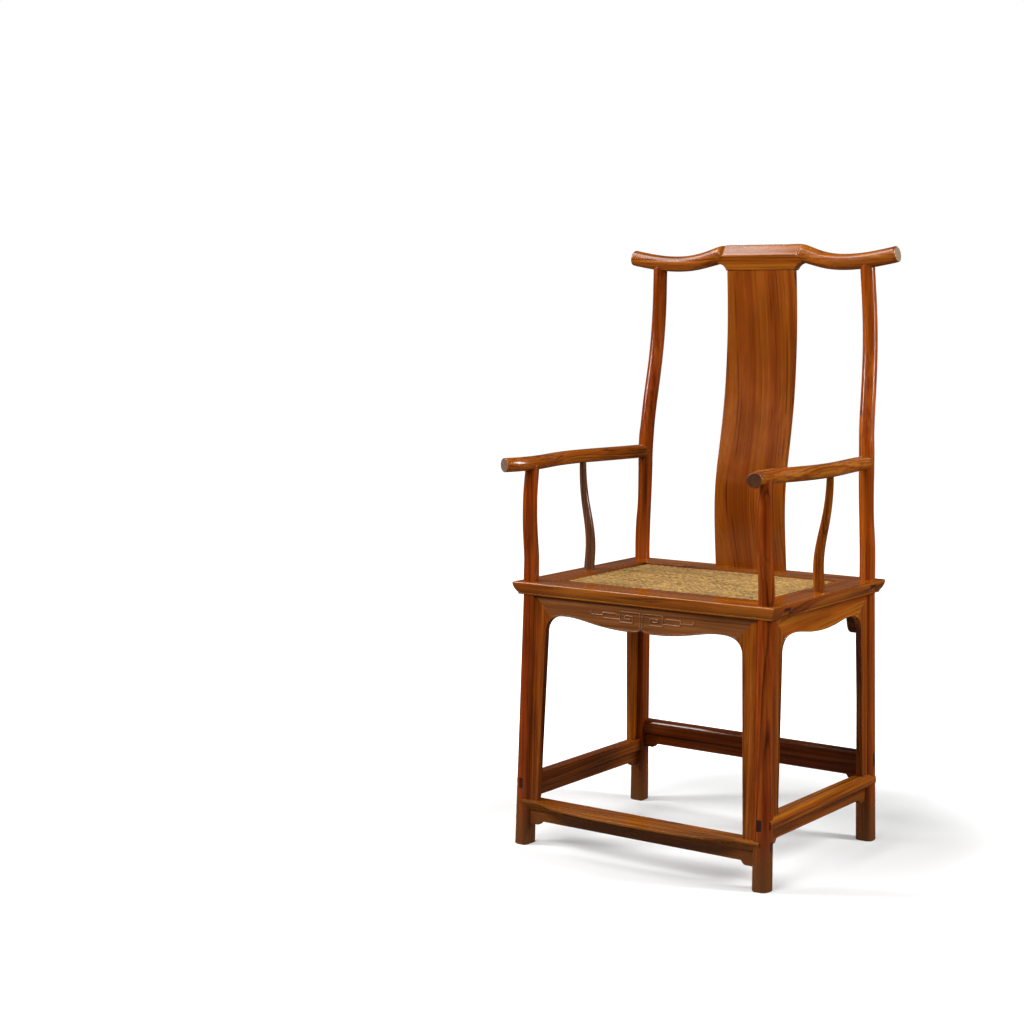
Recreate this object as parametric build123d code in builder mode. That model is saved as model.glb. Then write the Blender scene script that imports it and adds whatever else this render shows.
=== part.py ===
"""Official's hat armchair in hardwood: round members, tall back splat, soft cane seat.

Millimetres. +Z is up, the front of the chair faces -Y and the floor is Z = 0. The origin lies on the
floor, midway between the four feet. Left and right are as seen from the front.
"""
from build123d import *
import os
from math import radians, sin

os.makedirs("parts", exist_ok=True)

# ================================================================ driving sizes
SEAT_HEIGHT = 523.0             # floor to the top of the seat frame
ARM_RISE = 232.5                # seat top to the armrests' centre line, over the front posts
BACK_RISE = 657.0               # seat top to the headrest's ridge
SEAT_WIDTH = 582.0
SEAT_DEPTH = 446.0
SEAT_SHIFT = 7.0                # seat frame's middle, behind the middle of the feet

# legs below the seat: round outside, square towards the middle of the chair
FOOT_HALF_SPAN_X = 270.0        # feet centres, out from the middle
FOOT_HALF_SPAN_Y = 210.0
FOOT_RADIUS = 16.5
FOOT_EASING = 1.2
LEG_RADIUS = 15.3               # under the seat frame, and through it
LEG_OUTER_CORNER = 15.5         # rounding of a leg's corners: outer, the two sides, inner
LEG_SIDE_CORNER = 10.6
LEG_INNER_CORNER = 1.2
LEG_INSET_SIDE = 28.2           # leg centres, in from the seat frame's outer edges
LEG_INSET_FRONT = 25.0
LEG_INSET_REAR = 21.8
POST_TOP_RADIUS = 14.3

# seat frame and soft seat
FRAME_THICKNESS = 25.0
RAIL_WIDTH = 58.0               # a rail's top face, from its outer edge to the edge strip
LEDGE_WIDTH = 12.0              # ledge that carries webbing, mat and strips
STRIP_WIDTH = 9.0
STRIP_THICKNESS = 5.2
STRIP_ROUNDING = 2.0
MAT_THICKNESS = 1.6
WEBBING_THICKNESS = 2.4
EDGE_ROUNDING = 3.0             # moulded outer edge of the frame, from the top down
EDGE_FALL = 8.0                 # how far the edge falls back above its bottom bead
EDGE_CURVE_RADIUS = 34.0
EDGE_BEAD = 3.6                 # bottom bead: its height, and how far it swells past the fall
EDGE_BEAD_SWELL = 1.2
RAIL_TENON_WIDTH = 23.0
RAIL_TENON_THICKNESS = 13.0
RAIL_TENON_DEPTH = 6.0          # rail tenons, below the seat's top
RAIL_TENON_CLEAR = 1.6          # and clear of the legs' holes
BRACE_WIDTH = 24.0
BRACE_THICKNESS = 12.0
BRACE_BOW = 16.0
BRACE_HALF_SPACING = 78.0
BRACE_CLEAR = 3.0               # braces' ends, below the ledge
BRACE_EASING = 2.0
PIN_RADIUS = 1.3
PIN_LENGTH = 16.0
PIN_SPACING = 95.0
PIN_INSET = 40.0                # first pin of a row, in from the strip's end

# aprons under the seat frame
APRON_THICKNESS = 11.0
APRON_FORE = 8.5                # apron's face, outside the legs' centre lines
TONGUE_LENGTH = 4.0             # tongue along the edge that meets a leg
TONGUE_THICKNESS = 4.0
BOARD_WIDTH_TOP = 30.3          # side boards, at the seat frame
BOARD_WIDTH_FLOOR = 18.7        # the same edge line carried on to the floor
SPRING_DROP = 68.0              # frame's underside down to where the arch leaves the boards
SHOULDER_DROP = 36.5            # and to the arch's shoulders
FRONT_DIP_DROP = 51.5           # and to the front arch's lowest stretch
SIDE_DIP_DROP = 46.3
SHOULDER_INSET = 38.0           # shoulders, in from the boards
CORNER_INSET = 14.0             # arch's corner where the mitre ends, in from the boards
CORNER_DROP = 43.0
TURN_INSET = 5.0                # the turn between that corner and the boards
TURN_DROP = 52.0
FRONT_DIP_HALF_LENGTH = 28.0
FRONT_CUSP_RISE = 7.5
CUSP_SLOPE = 1.5
RISE_ALONG = 0.5                # a point between the dip and a shoulder, shares of the way
RISE_UP = 0.43
BEAD_WIDTH = 2.6
BEAD_STEPS = 24                 # points along each of its curves
BEAD_RISE = 1.0

# stretchers: lowest in front, higher at the sides, highest at the back
FOOTREST_TOP = 92.0
FOOTREST_THICKNESS = 20.0
FOOTREST_LIP = 4.0              # upright edge of the lip, above the undercut
FOOTREST_BACK = 14.7            # back edge, behind the front legs' centre lines
FOOTREST_FORE = 19.6            # front edge at the ends, in front of them
FOOTREST_BOW = 35.0             # how much further forward the lip stands in the middle
FOOTREST_FOOT = 8.5             # foot of the undercut, in front of the legs' centre lines
FOOTREST_LAP = 2.5              # lap across a leg's face, past its centre line
FOOTREST_BOW_INSET = 47.0       # where the bow starts, in from the front legs' centre lines
FOOTREST_FOOT_BOW = 0.0         # bow of the undercut's foot
FOOTREST_TENON_THICKNESS = 10.0
FOOTREST_TENON_BACK = 2.5       # tenons' middle, behind the legs' centre lines
SIDE_STRETCHER_TOP = 135.5
SIDE_STRETCHER_HEIGHT = 25.0
BACK_STRETCHER_TOP = 178.0
BACK_STRETCHER_HEIGHT = 29.0
STRETCHER_BACK = 12.0           # inner face, inside the legs' centre lines
STRETCHER_NOSE = 18.0           # outer face, outside them
STRETCHER_LAP = 4.0             # past the centre lines of the legs at its ends
STRETCHER_EASING = 2.0
NOSE_SHARE = 0.4                # rounding of the outer edges, as a share of the height
STRETCHER_TENON_THICKNESS = 9.5
TENON_SHOULDER = 1.5            # stretcher tenons, in from the stretchers' top and bottom
TENON_REACH = 2.0               # stretcher tenons before they are cut off flush, in leg radiuses
SPANDREL_APRON_THICKNESS = 9.0
SPANDREL_APRON_DROP = 22.0
SPANDREL_TONGUE = 6.0           # length of its ends let into the legs
SPANDREL_DROP = 8.0
SPANDREL_LENGTH = 27.0
SPANDREL_STEP = 9.0             # length of the curve at a spandrel's end
SPANDREL_END_SLOPE = 1.6
BACK_APRON_DROP = 44.0          # back apron under the seat frame, and its spandrels
BACK_SPANDREL_DROP = 40.0
BACK_SPANDREL_LENGTH = 32.0
BACK_SPANDREL_STEP = 16.0

# crest rail
CREST_HALF_LENGTH = 302.5
CREST_RADIUS = 15.8
CREST_FORE = 1.5                # its middle line, in front of the rear posts' tops
HEADREST_RADIUS = 18.3
HEADREST_HALF_LENGTH = 87.0      # of its lower front arris
RIDGE_HALF_LENGTH = 92.0
HEADREST_SETBACK = 11.0         # headrest's middle line, behind the wings'
NOSE_FORE = 17.0                # headrest's lower front arris, before its middle line
NOSE_DROP = 3.4                 # and below it
RIDGE_BACK = 2.5                # headrest's ridge, behind its middle line
FLAT_END_SLOPE = 32.0           # degrees, the ends of its flat, out from square
SKIRT_HALF_LENGTH = 80.0        # block under the headrest that takes the splat
SKIRT_COVE_WIDTH = 16.0          # hollow at each end of the skirt
SKIRT_COVE_RISE = 14.0
SKIRT_COVE_RADIUS = 15.5
SKIRT_DROP = 53.0               # headrest's ridge down to the skirt's underside
SKIRT_FRONT_LIP = 1.2           # skirt's underside, in front of the splat's face
SKIRT_BACK_LIP = 6.0            # and behind its back
SKIRT_TOP_BACK = 17.0           # skirt's top, behind the headrest's middle line

# posts, armrests and splat
BACK_SWAY = 32.0                # how far the rear posts swing back above the seat
BACK_POST_LEAN = 25.0           # how far they lean in, from the seat to the crest rail
FRONT_POST_SWAY = 8.0           # how far the front posts swing forward
ARM_RADIUS = 13.9
ARM_SHOULDER = 0.3              # front post's top, slimmer than the armrest
ARM_NECK = 5.0                  # armrest over the front post, in from the leg's centre line
ARM_BULGE = 25.7                # how far it swings out, towards the side post
ARM_OVERHANG = 68.0             # armrest's tip, in front of the front post
ARM_FLARE = 17.5                # how far the tip turns out
END_ROUNDING = 1.0              # edges of the armrests' tips and the crest rail's ends
ARM_TILT = 3.0                  # fall of the armrest from the front post to the rear one
SIDE_POST_FOOT_RADIUS = 10.7
SIDE_POST_TOP_RADIUS = 6.8
SIDE_POST_Y = 9.0               # its foot, behind the middle of the feet
SIDE_POST_RAKE = 4.0            # its top stands this much further back
SPLAT_THICKNESS = 10.0
SPLAT_HALF_WIDTH_BOTTOM = 80.5
SPLAT_HALF_WIDTH_TOP = 77.8
SPLAT_FORE = 4.3                # splat's front face at the seat, in front of the rear posts' middle
SPLAT_SWAY = 37.0
SPLAT_EASING = 1.2
SPLAT_TONGUE = 9.0

# fits
POST_TENON_RADIUS = 6.5
POST_TENON_RISE = 2.0           # post tenons, above the centre line of the bar they carry
POST_TENON_ROOT = 20.0          # and their roots, below it
ARM_TENON_SHORT = 3.0           # armrest's tenon, short of the rear post's centre line
SIDE_POST_TENON_RADIUS = 4.2
SIDE_POST_FOOT_TENON_RADIUS = 7.0
SIDE_POST_FOOT_TENON_LENGTH = 16.0
BRACE_TENON_LENGTH = 10.0
BRACE_TENON_THICKNESS = 8.0
FIT = 0.12                      # clearance on each side of a tenon or tongue
BOARD_CLEAR = 0.03              # apron boards' edges, clear of the legs' leaning faces
END_GAP = 0.6                   # clearance at the blind end of a tenon or tongue
SOFT_GAP = 0.4                  # mat, webbing and strips, in from the ledge's wall

FRAME_STATIONS = 3              # sections of a post's straight run within the frame

# ================================================================ shape of the curved lines
# (share of the height from the seat to the crest rail, share of BACK_SWAY)
BACK_POST_CURVE = (
    (0.0, 0.0), (0.12, 0.01), (0.35, 0.05), (0.45, 0.14), (0.54, 0.37),
    (0.64, 0.70), (0.74, 0.93), (0.83, 1.0), (0.93, 0.94), (1.0, 0.90),
)
BACK_POST_LEAN_POWER = 1.35
# (share of the height from the seat to the armrest, share of FRONT_POST_SWAY)
FRONT_POST_CURVE = (
    (0.0, 0.0), (0.15, 0.0), (0.28, 0.25), (0.38, 0.6), (0.5, 0.9),
    (0.62, 1.0), (0.72, 0.97), (0.82, 0.75), (0.92, 0.4), (1.0, 0.3),
)
# (share of the way from the front post to the rear one, share of ARM_BULGE)
ARM_CURVE = (
    (0.0, 0.0), (0.13, 0.30), (0.28, 0.81), (0.43, 1.0), (0.58, 0.84),
    (0.73, 0.51), (0.86, 0.25), (1.0, 0.0),
)
# (share of ARM_OVERHANG, share of ARM_FLARE), from the tip to the front post
ARM_TIP_CURVE = ((1.0, 1.0), (0.5, 0.22))
# (share of the height from the seat to the armrest, share of the swing out, share of the thinning)
SIDE_POST_CURVE = (
    (0.0, 0.0, 0.0), (0.16, -0.14, 0.08), (0.33, -0.05, 0.26), (0.50, 0.35, 0.49),
    (0.68, 0.78, 0.72), (0.85, 0.98, 0.90), (1.0, 1.0, 1.0),
)
# (share of the height from the seat to the skirt, share of SPLAT_SWAY)
SPLAT_CURVE = (
    (0.0, 0.0), (0.10, -0.13), (0.195, -0.205), (0.295, -0.115), (0.39, 0.18), (0.49, 0.52),
    (0.59, 0.78), (0.69, 0.93), (0.79, 1.0), (0.89, 0.985), (1.0, 0.89),
)
# (share of the way from the middle to the end of the bow, share of FOOTREST_BOW)
FOOTREST_CURVE = ((0.93, 0.22), (0.77, 0.6), (0.50, 0.886), (0.25, 0.975))
# (share of CREST_HALF_LENGTH, drop below the headrest's ridge, share of HEADREST_SETBACK,
#  share of the thickening from the wing to the headrest)
CREST_CURVE = (
    (0.10, 18.3, 1.0, 1.0), (0.20, 18.3, 1.0, 1.0), (0.30, 19.0, 0.90, 0.92), (0.35, 22.9, 0.72, 0.62),
    (0.41, 28.2, 0.45, 0.33), (0.51, 35.0, 0.14, 0.16), (0.61, 37.6, 0.0, 0.06), (0.69, 37.2, 0.0, 0.03),
    (0.77, 35.3, 0.02, 0.02), (0.85, 32.0, 0.05, 0.02), (0.93, 27.8, 0.09, 0.04), (1.0, 23.4, 0.14, 0.06),
)

# ================================================================ places worked out from the sizes
SIDES = (("left", -1), ("right", 1))
CHAIR_HEIGHT = SEAT_HEIGHT + BACK_RISE
FRAME_UNDERSIDE = SEAT_HEIGHT - FRAME_THICKNESS
HALF_WIDTH = SEAT_WIDTH / 2
SEAT_FRONT = SEAT_SHIFT - SEAT_DEPTH / 2
SEAT_REAR = SEAT_SHIFT + SEAT_DEPTH / 2
LEG_X = HALF_WIDTH - LEG_INSET_SIDE
FRONT_LEG_Y = SEAT_FRONT + LEG_INSET_FRONT
REAR_LEG_Y = SEAT_REAR - LEG_INSET_REAR
LEDGE_Z = SEAT_HEIGHT - STRIP_THICKNESS - MAT_THICKNESS - WEBBING_THICKNESS
SPLAT_Y = REAR_LEG_Y - SPLAT_FORE
SPLAT_TOP_Y = SPLAT_Y + SPLAT_SWAY * SPLAT_CURVE[-1][1]
SKIRT_Z = CHAIR_HEIGHT - SKIRT_DROP
SKIRT_FRONT_Y = SPLAT_TOP_Y - SKIRT_FRONT_LIP
SKIRT_BACK_Y = SPLAT_TOP_Y + SPLAT_THICKNESS + SKIRT_BACK_LIP
HEADREST_Z = CHAIR_HEIGHT - HEADREST_RADIUS
FAR = 2 * CHAIR_HEIGHT          # larger than the chair, for half-space cuts
EVEN = (1, 1)                   # end tangents of a spline kept at the pace of its points


def blend(start, end, share):
    """The value a share of the way from start to end."""
    return start + (end - start) * share


def along(curve, share):
    """The curve's second column where its first column is share, between straight runs."""
    for (share_a, value_a), (share_b, value_b) in zip(curve, curve[1:]):
        if share <= share_b:
            return blend(value_a, value_b, (share - share_a) / (share_b - share_a))
    return curve[-1][1]


def leg_x(z):
    """Centre line of the right-hand legs below the seat."""
    return blend(FOOT_HALF_SPAN_X, LEG_X, z / FRAME_UNDERSIDE)


def front_leg_y(z):
    """Centre line of the front legs below the seat."""
    return blend(-FOOT_HALF_SPAN_Y, FRONT_LEG_Y, z / FRAME_UNDERSIDE)


def rear_leg_y(z):
    """Centre line of the rear legs below the seat."""
    return blend(FOOT_HALF_SPAN_Y, REAR_LEG_Y, z / FRAME_UNDERSIDE)


def leg_radius(z):
    """Half of a leg's thickness below the seat."""
    return blend(FOOT_RADIUS, LEG_RADIUS, z / FRAME_UNDERSIDE)


def past_leg(z):
    """How far a through tenon at a height reaches from a leg's centre line, past its outside."""
    return TENON_REACH * leg_radius(z)


def on_side(solid, flip):
    """A right-hand solid as it is, or its mirror image for the left-hand side."""
    return solid if flip > 0 else mirror(solid, about=Plane.YZ)


def box_between(low, high, grow=0.0):
    """A plain box between two corners, with every face moved out by grow."""
    with BuildPart() as box:
        with Locations(tuple((a + b) / 2 for a, b in zip(low, high))):
            Box(*[b - a + 2 * grow for a, b in zip(low, high)])
    return box.part


def upright_peg(x, y, bottom, top, radius):
    """A round upright peg."""
    with BuildPart() as peg:
        with BuildSketch(Plane.XY.offset(bottom)):
            with Locations((x, y)):
                Circle(radius)
        extrude(amount=top - bottom)
    return peg.part


def round_bar(stations, steady):
    """A round bar through (centre, radius) stations, each section square to the bar's run.

    steady is a direction that every section's own X axis keeps to, so that the bar has no twist.
    """
    centres = [Vector(*centre) for centre, radius in stations]
    last = len(centres) - 1
    with BuildPart() as bar:
        for i, (centre, radius) in enumerate(stations):
            run = centres[min(i + 1, last)] - centres[max(i - 1, 0)]
            with BuildSketch(Plane(origin=centre, x_dir=steady, z_dir=run)):
                Circle(radius)
        loft()
    return bar.part


# ================================================================ centre lines of the upper works
CREST_POST_X = LEG_X - BACK_POST_LEAN
CREST_POST_Z = CHAIR_HEIGHT - along([row[:2] for row in CREST_CURVE], CREST_POST_X / CREST_HALF_LENGTH)
BACK_POST_TOP_Y = REAR_LEG_Y + BACK_SWAY * BACK_POST_CURVE[-1][1]
CREST_Y = BACK_POST_TOP_Y - CREST_FORE


def back_post_centre(share):
    """A point of the right rear post's centre line, a share of the way up from the seat."""
    x = LEG_X - BACK_POST_LEAN * share ** BACK_POST_LEAN_POWER
    y = REAR_LEG_Y + BACK_SWAY * along(BACK_POST_CURVE, share)
    return (x, y, blend(SEAT_HEIGHT, CREST_POST_Z, share))


ARM_Z = SEAT_HEIGHT + ARM_RISE
ARM_FRONT_X = LEG_X - ARM_NECK
ARM_FRONT_Y = FRONT_LEG_Y - FRONT_POST_SWAY * FRONT_POST_CURVE[-1][1]
ARM_REAR = back_post_centre((ARM_RISE - ARM_TILT) / (CREST_POST_Z - SEAT_HEIGHT))


def arm_centre(share):
    """A point of the right armrest's centre line, a share of the way to the rear post."""
    x = blend(ARM_FRONT_X, ARM_REAR[0], share) + ARM_BULGE * along(ARM_CURVE, share)
    return (x, blend(ARM_FRONT_Y, ARM_REAR[1], share), ARM_Z - ARM_TILT * share)


# ================================================================ blanks, before they are jointed
def lower_leg(leg_y, outward):
    """A right-hand leg from the floor to the underside of the seat frame.

    Its outer corner is round, its side corners are softer and its inner corner is square.
    """
    diagonal = Axis((0, 0, 0), (1, outward, 0))
    with BuildPart() as leg:
        for z, easing in ((0.0, FOOT_EASING), (FOOT_EASING, 0.0), (FRAME_UNDERSIDE, 0.0)):
            side = 2 * (leg_radius(z) - easing)
            with BuildSketch(Plane((leg_x(z), leg_y(z), z))) as section:
                Rectangle(side, side)
                fillet(section.vertices().sort_by(diagonal)[-1], LEG_OUTER_CORNER)
                corners = section.vertices().sort_by(diagonal)
                fillet(corners[1:3], LEG_SIDE_CORNER)
                fillet(section.vertices().sort_by(diagonal)[0], LEG_INNER_CORNER)
        loft(ruled=True)
    return leg.part


def stations_in_frame(leg_y):
    """Stations of a post within the seat frame, where it is straight and upright."""
    steps = FRAME_STATIONS
    return [
        ((LEG_X, leg_y, blend(FRAME_UNDERSIDE, SEAT_HEIGHT, i / steps)), LEG_RADIUS)
        for i in range(steps)
    ]


def back_post():
    """The right rear leg's round upper part, through the seat frame and up into the crest rail."""
    stations = stations_in_frame(REAR_LEG_Y)
    for share, sway in BACK_POST_CURVE:
        stations.append((back_post_centre(share), blend(LEG_RADIUS, POST_TOP_RADIUS, share)))
    return round_bar(stations, (1, 0, 0))


def front_post():
    """The right front leg's round upper part, through the seat frame and up into the armrest."""
    stations = stations_in_frame(FRONT_LEG_Y)
    for share, sway in FRONT_POST_CURVE:
        centre = (
            blend(LEG_X, ARM_FRONT_X, share),
            FRONT_LEG_Y - FRONT_POST_SWAY * sway,
            blend(SEAT_HEIGHT, ARM_Z, share),
        )
        stations.append((centre, blend(LEG_RADIUS, ARM_RADIUS - ARM_SHOULDER, share)))
    return round_bar(stations, (1, 0, 0))


def arm_bar():
    """The right armrest, from its free tip to the middle of the rear post."""
    stations = []
    for reach, flare in ARM_TIP_CURVE:
        x = ARM_FRONT_X + ARM_FLARE * flare
        stations.append(((x, ARM_FRONT_Y - ARM_OVERHANG * reach, ARM_Z), ARM_RADIUS))
    for row in ARM_CURVE:
        stations.append((arm_centre(row[0]), ARM_RADIUS))
    with BuildPart() as bar:
        add(round_bar(stations, (0, 0, 1)))
        fillet(bar.faces().sort_by(Axis.Y)[0].edges(), END_ROUNDING)
    return bar.part


def side_post():
    """The right side post, from the seat to the middle of the armrest."""
    top_y = SIDE_POST_Y + SIDE_POST_RAKE
    top_x, top_y, top_z = arm_centre((top_y - ARM_FRONT_Y) / (ARM_REAR[1] - ARM_FRONT_Y))
    stations = [((LEG_X, SIDE_POST_Y, SEAT_HEIGHT - SIDE_POST_FOOT_RADIUS), SIDE_POST_FOOT_RADIUS)]
    for share, swing, thinning in SIDE_POST_CURVE:
        centre = (
            blend(LEG_X, top_x, swing),
            blend(SIDE_POST_Y, top_y, share),
            blend(SEAT_HEIGHT, top_z, share),
        )
        radius = blend(SIDE_POST_FOOT_RADIUS, SIDE_POST_TOP_RADIUS, thinning)
        stations.append((centre, radius))
    with BuildPart() as post:
        add(round_bar(stations, (1, 0, 0)))
        split(bisect_by=Plane.XY.offset(SEAT_HEIGHT), keep=Keep.TOP)
    return post.part


def crest_bar():
    """The whole crest rail before its mortises: wings, headrest and the skirt over the splat."""
    half = []
    for share, drop, setback, thickening in CREST_CURVE:
        centre = (
            CREST_HALF_LENGTH * share,
            CREST_Y + HEADREST_SETBACK * setback,
            CHAIR_HEIGHT - drop,
        )
        half.append((centre, blend(CREST_RADIUS, HEADREST_RADIUS, thickening)))
    middle = ((0, CREST_Y + HEADREST_SETBACK, HEADREST_Z), HEADREST_RADIUS)
    other_half = [((-x, y, z), radius) for (x, y, z), radius in reversed(half)]
    head_y = CREST_Y + HEADREST_SETBACK
    nose = Vector(0, head_y - NOSE_FORE, HEADREST_Z - NOSE_DROP)
    ridge = Vector(0, head_y + RIDGE_BACK, CHAIR_HEIGHT)
    lip = Vector(0, SKIRT_FRONT_Y, SKIRT_Z)
    slope = Plane(origin=nose, x_dir=(1, 0, 0), z_dir=(ridge - nose).cross(Vector(-1, 0, 0)))
    front = Plane(origin=lip, x_dir=(1, 0, 0), z_dir=(nose - lip).cross(Vector(-1, 0, 0)))
    cove_x = SKIRT_HALF_LENGTH + SKIRT_COVE_WIDTH
    cove_z = SKIRT_Z + SKIRT_COVE_RISE
    # skirt: its side profile, cut to its front outline
    with BuildPart() as skirt:
        with BuildSketch(Plane.YZ):
            Polygon(
                (SKIRT_FRONT_Y, SKIRT_Z),
                (SKIRT_BACK_Y, SKIRT_Z),
                (head_y + SKIRT_TOP_BACK, HEADREST_Z - NOSE_DROP),
                (head_y - NOSE_FORE, HEADREST_Z - NOSE_DROP),
                align=None,
            )
        extrude(amount=cove_x, both=True)
        with BuildSketch(Plane.XZ):
            with BuildLine():
                Line((-cove_x, CHAIR_HEIGHT), (cove_x, CHAIR_HEIGHT))
                Line((cove_x, CHAIR_HEIGHT), (cove_x, cove_z))
                RadiusArc((cove_x, cove_z), (SKIRT_HALF_LENGTH, SKIRT_Z), -SKIRT_COVE_RADIUS)
                Line((SKIRT_HALF_LENGTH, SKIRT_Z), (-SKIRT_HALF_LENGTH, SKIRT_Z))
                RadiusArc((-SKIRT_HALF_LENGTH, SKIRT_Z), (-cove_x, cove_z), -SKIRT_COVE_RADIUS)
                Line((-cove_x, cove_z), (-cove_x, CHAIR_HEIGHT))
            make_face()
        extrude(amount=FAR, both=True, mode=Mode.INTERSECT)
    with BuildPart() as bar:
        add(round_bar(other_half + [middle] + half, (0, 0, 1)))
        add(skirt.part)
        # flat of the headrest and front of the skirt, their ends flaring out to the round wings
        for plane, height, low_half, high_half in (
            (slope, (ridge - nose).length, HEADREST_HALF_LENGTH, RIDGE_HALF_LENGTH),
            (front, (nose - lip).length, SKIRT_HALF_LENGTH, HEADREST_HALF_LENGTH),
        ):
            with BuildSketch(plane):
                Polygon(
                    (-low_half, 0), (low_half, 0), (high_half, height), (-high_half, height),
                    align=None,
                )
            extrude(amount=HEADREST_RADIUS, taper=-FLAT_END_SLOPE, mode=Mode.SUBTRACT)
        for end in (-1, 0):
            fillet(bar.faces().sort_by(Axis.X)[end].edges(), END_ROUNDING)
    return bar.part


# ================================================================ right-hand blanks and their places
rear_leg_blank = lower_leg(rear_leg_y, 1) + back_post()
front_leg_blank = lower_leg(front_leg_y, -1) + front_post()
arm_blank = arm_bar()
side_post_blank = side_post()
crest_blank = crest_bar()
side_post_foot = (LEG_X, SIDE_POST_Y)
side_post_head = arm_centre((SIDE_POST_Y + SIDE_POST_RAKE - ARM_FRONT_Y) / (ARM_REAR[1] - ARM_FRONT_Y))


def leg_holes(grow):
    """The four round holes of the seat frame, with their radius enlarged by grow."""
    with BuildPart() as holes:
        with BuildSketch(Plane.XY.offset(FRAME_UNDERSIDE - grow)):
            for y in (FRONT_LEG_Y, REAR_LEG_Y):
                with Locations((-LEG_X, y), (LEG_X, y)):
                    Circle(LEG_RADIUS + grow)
        extrude(amount=FRAME_THICKNESS + 2 * grow)
    return holes.part


# ================================================================ seat frame
RAIL_DEPTH = RAIL_WIDTH + LEDGE_WIDTH
# the outer edge of a rail in its own section, measured from its outer top arris
FALL_Z = -FRAME_THICKNESS + EDGE_BEAD
BEAD_X = -EDGE_FALL - EDGE_BEAD_SWELL
BEAD_RADIUS = EDGE_BEAD / 2 + FIT
ROUNDING_MIDDLE = -EDGE_ROUNDING * (1 - sin(radians(45)))


def rail_profile():
    """A rail's section: its outer top edge at the origin, its body towards -X."""
    with BuildSketch(mode=Mode.PRIVATE) as section:
        with BuildLine():
            Polyline(
                (BEAD_X, -FRAME_THICKNESS),
                (-RAIL_DEPTH, -FRAME_THICKNESS),
                (-RAIL_DEPTH, LEDGE_Z - SEAT_HEIGHT),
                (-RAIL_WIDTH, LEDGE_Z - SEAT_HEIGHT),
                (-RAIL_WIDTH, 0),
                (-EDGE_ROUNDING, 0),
            )
            ThreePointArc(
                (-EDGE_ROUNDING, 0),
                (ROUNDING_MIDDLE, ROUNDING_MIDDLE),
                (0, -EDGE_ROUNDING),
            )
            RadiusArc((0, -EDGE_ROUNDING), (-EDGE_FALL, FALL_Z), EDGE_CURVE_RADIUS)
            Line((-EDGE_FALL, FALL_Z), (BEAD_X, FALL_Z))
            RadiusArc((BEAD_X, FALL_Z), (BEAD_X, -FRAME_THICKNESS), BEAD_RADIUS)
        make_face()
    return section.sketch


def mitred_plan(half_length, depth):
    """Plan of a mitred length lying along X, with its outer edge on Y = 0 and its body towards -Y."""
    with BuildSketch(mode=Mode.PRIVATE) as plan:
        Polygon(
            (-half_length, 0),
            (half_length, 0),
            (half_length - depth, -depth),
            (depth - half_length, -depth),
            align=None,
        )
    return plan.sketch


def rail(edge_middle, outward, half_length):
    """A mitred rail of the seat frame, with the middle of its outer top edge at edge_middle."""
    run = Vector(*outward).cross(Vector(0, 0, 1))
    section_plane = Plane(origin=edge_middle, x_dir=outward, z_dir=run)
    with BuildPart() as length:
        with BuildSketch(section_plane):
            add(rail_profile())
        extrude(amount=half_length, both=True)
        with BuildSketch(Plane(origin=edge_middle, x_dir=run, z_dir=(0, 0, 1))):
            add(mitred_plan(half_length, RAIL_DEPTH + FIT))
        extrude(amount=FRAME_THICKNESS, both=True, mode=Mode.INTERSECT)
    return length.part


def strip(edge_middle, outward, half_length):
    """A mitred edge strip of the soft seat, placed as a rail is, rounded along its inner arris."""
    run = Vector(*outward).cross(Vector(0, 0, 1))
    with BuildPart() as length:
        with BuildSketch(Plane(origin=edge_middle, x_dir=outward, z_dir=run)) as section:
            with Locations((-STRIP_WIDTH / 2, -STRIP_THICKNESS / 2)):
                Rectangle(STRIP_WIDTH, STRIP_THICKNESS)
            inner_top = section.vertices().sort_by(Axis(edge_middle, outward))[:2].sort_by(Axis.Z)[-1]
            fillet(inner_top, STRIP_ROUNDING)
        extrude(amount=half_length, both=True)
        with BuildSketch(Plane(origin=edge_middle, x_dir=run, z_dir=(0, 0, 1))):
            add(mitred_plan(half_length, STRIP_WIDTH + FIT))
        extrude(amount=STRIP_THICKNESS, both=True, mode=Mode.INTERSECT)
    return length.part


side_rail_blank = rail((HALF_WIDTH, SEAT_SHIFT, SEAT_HEIGHT), (1, 0, 0), SEAT_DEPTH / 2)
front_rail_blank = rail((0, SEAT_FRONT, SEAT_HEIGHT), (0, -1, 0), HALF_WIDTH)
rear_rail_blank = rail((0, SEAT_REAR, SEAT_HEIGHT), (0, 1, 0), HALF_WIDTH)


def rail_tenon(near_leg_y, inward, grow=0.0):
    """Box through the right side rail for a front or rear rail's tenon, beside the leg's hole."""
    start = near_leg_y + inward * (LEG_RADIUS + RAIL_TENON_CLEAR)
    ends = sorted((start, start + inward * RAIL_TENON_WIDTH))
    top = SEAT_HEIGHT - RAIL_TENON_DEPTH
    return box_between(
        (HALF_WIDTH - RAIL_DEPTH - grow, ends[0], top - RAIL_TENON_THICKNESS),
        (HALF_WIDTH + grow, ends[1], top),
        grow,
    )


def splat_groove(z, half_width, face_y):
    """Groove for one end of the splat, cut both ways from z."""
    depth = SPLAT_TONGUE + END_GAP
    return box_between(
        (-half_width - FIT, face_y - FIT, z - depth),
        (half_width + FIT, face_y + SPLAT_THICKNESS + FIT, z + depth),
    )


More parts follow.
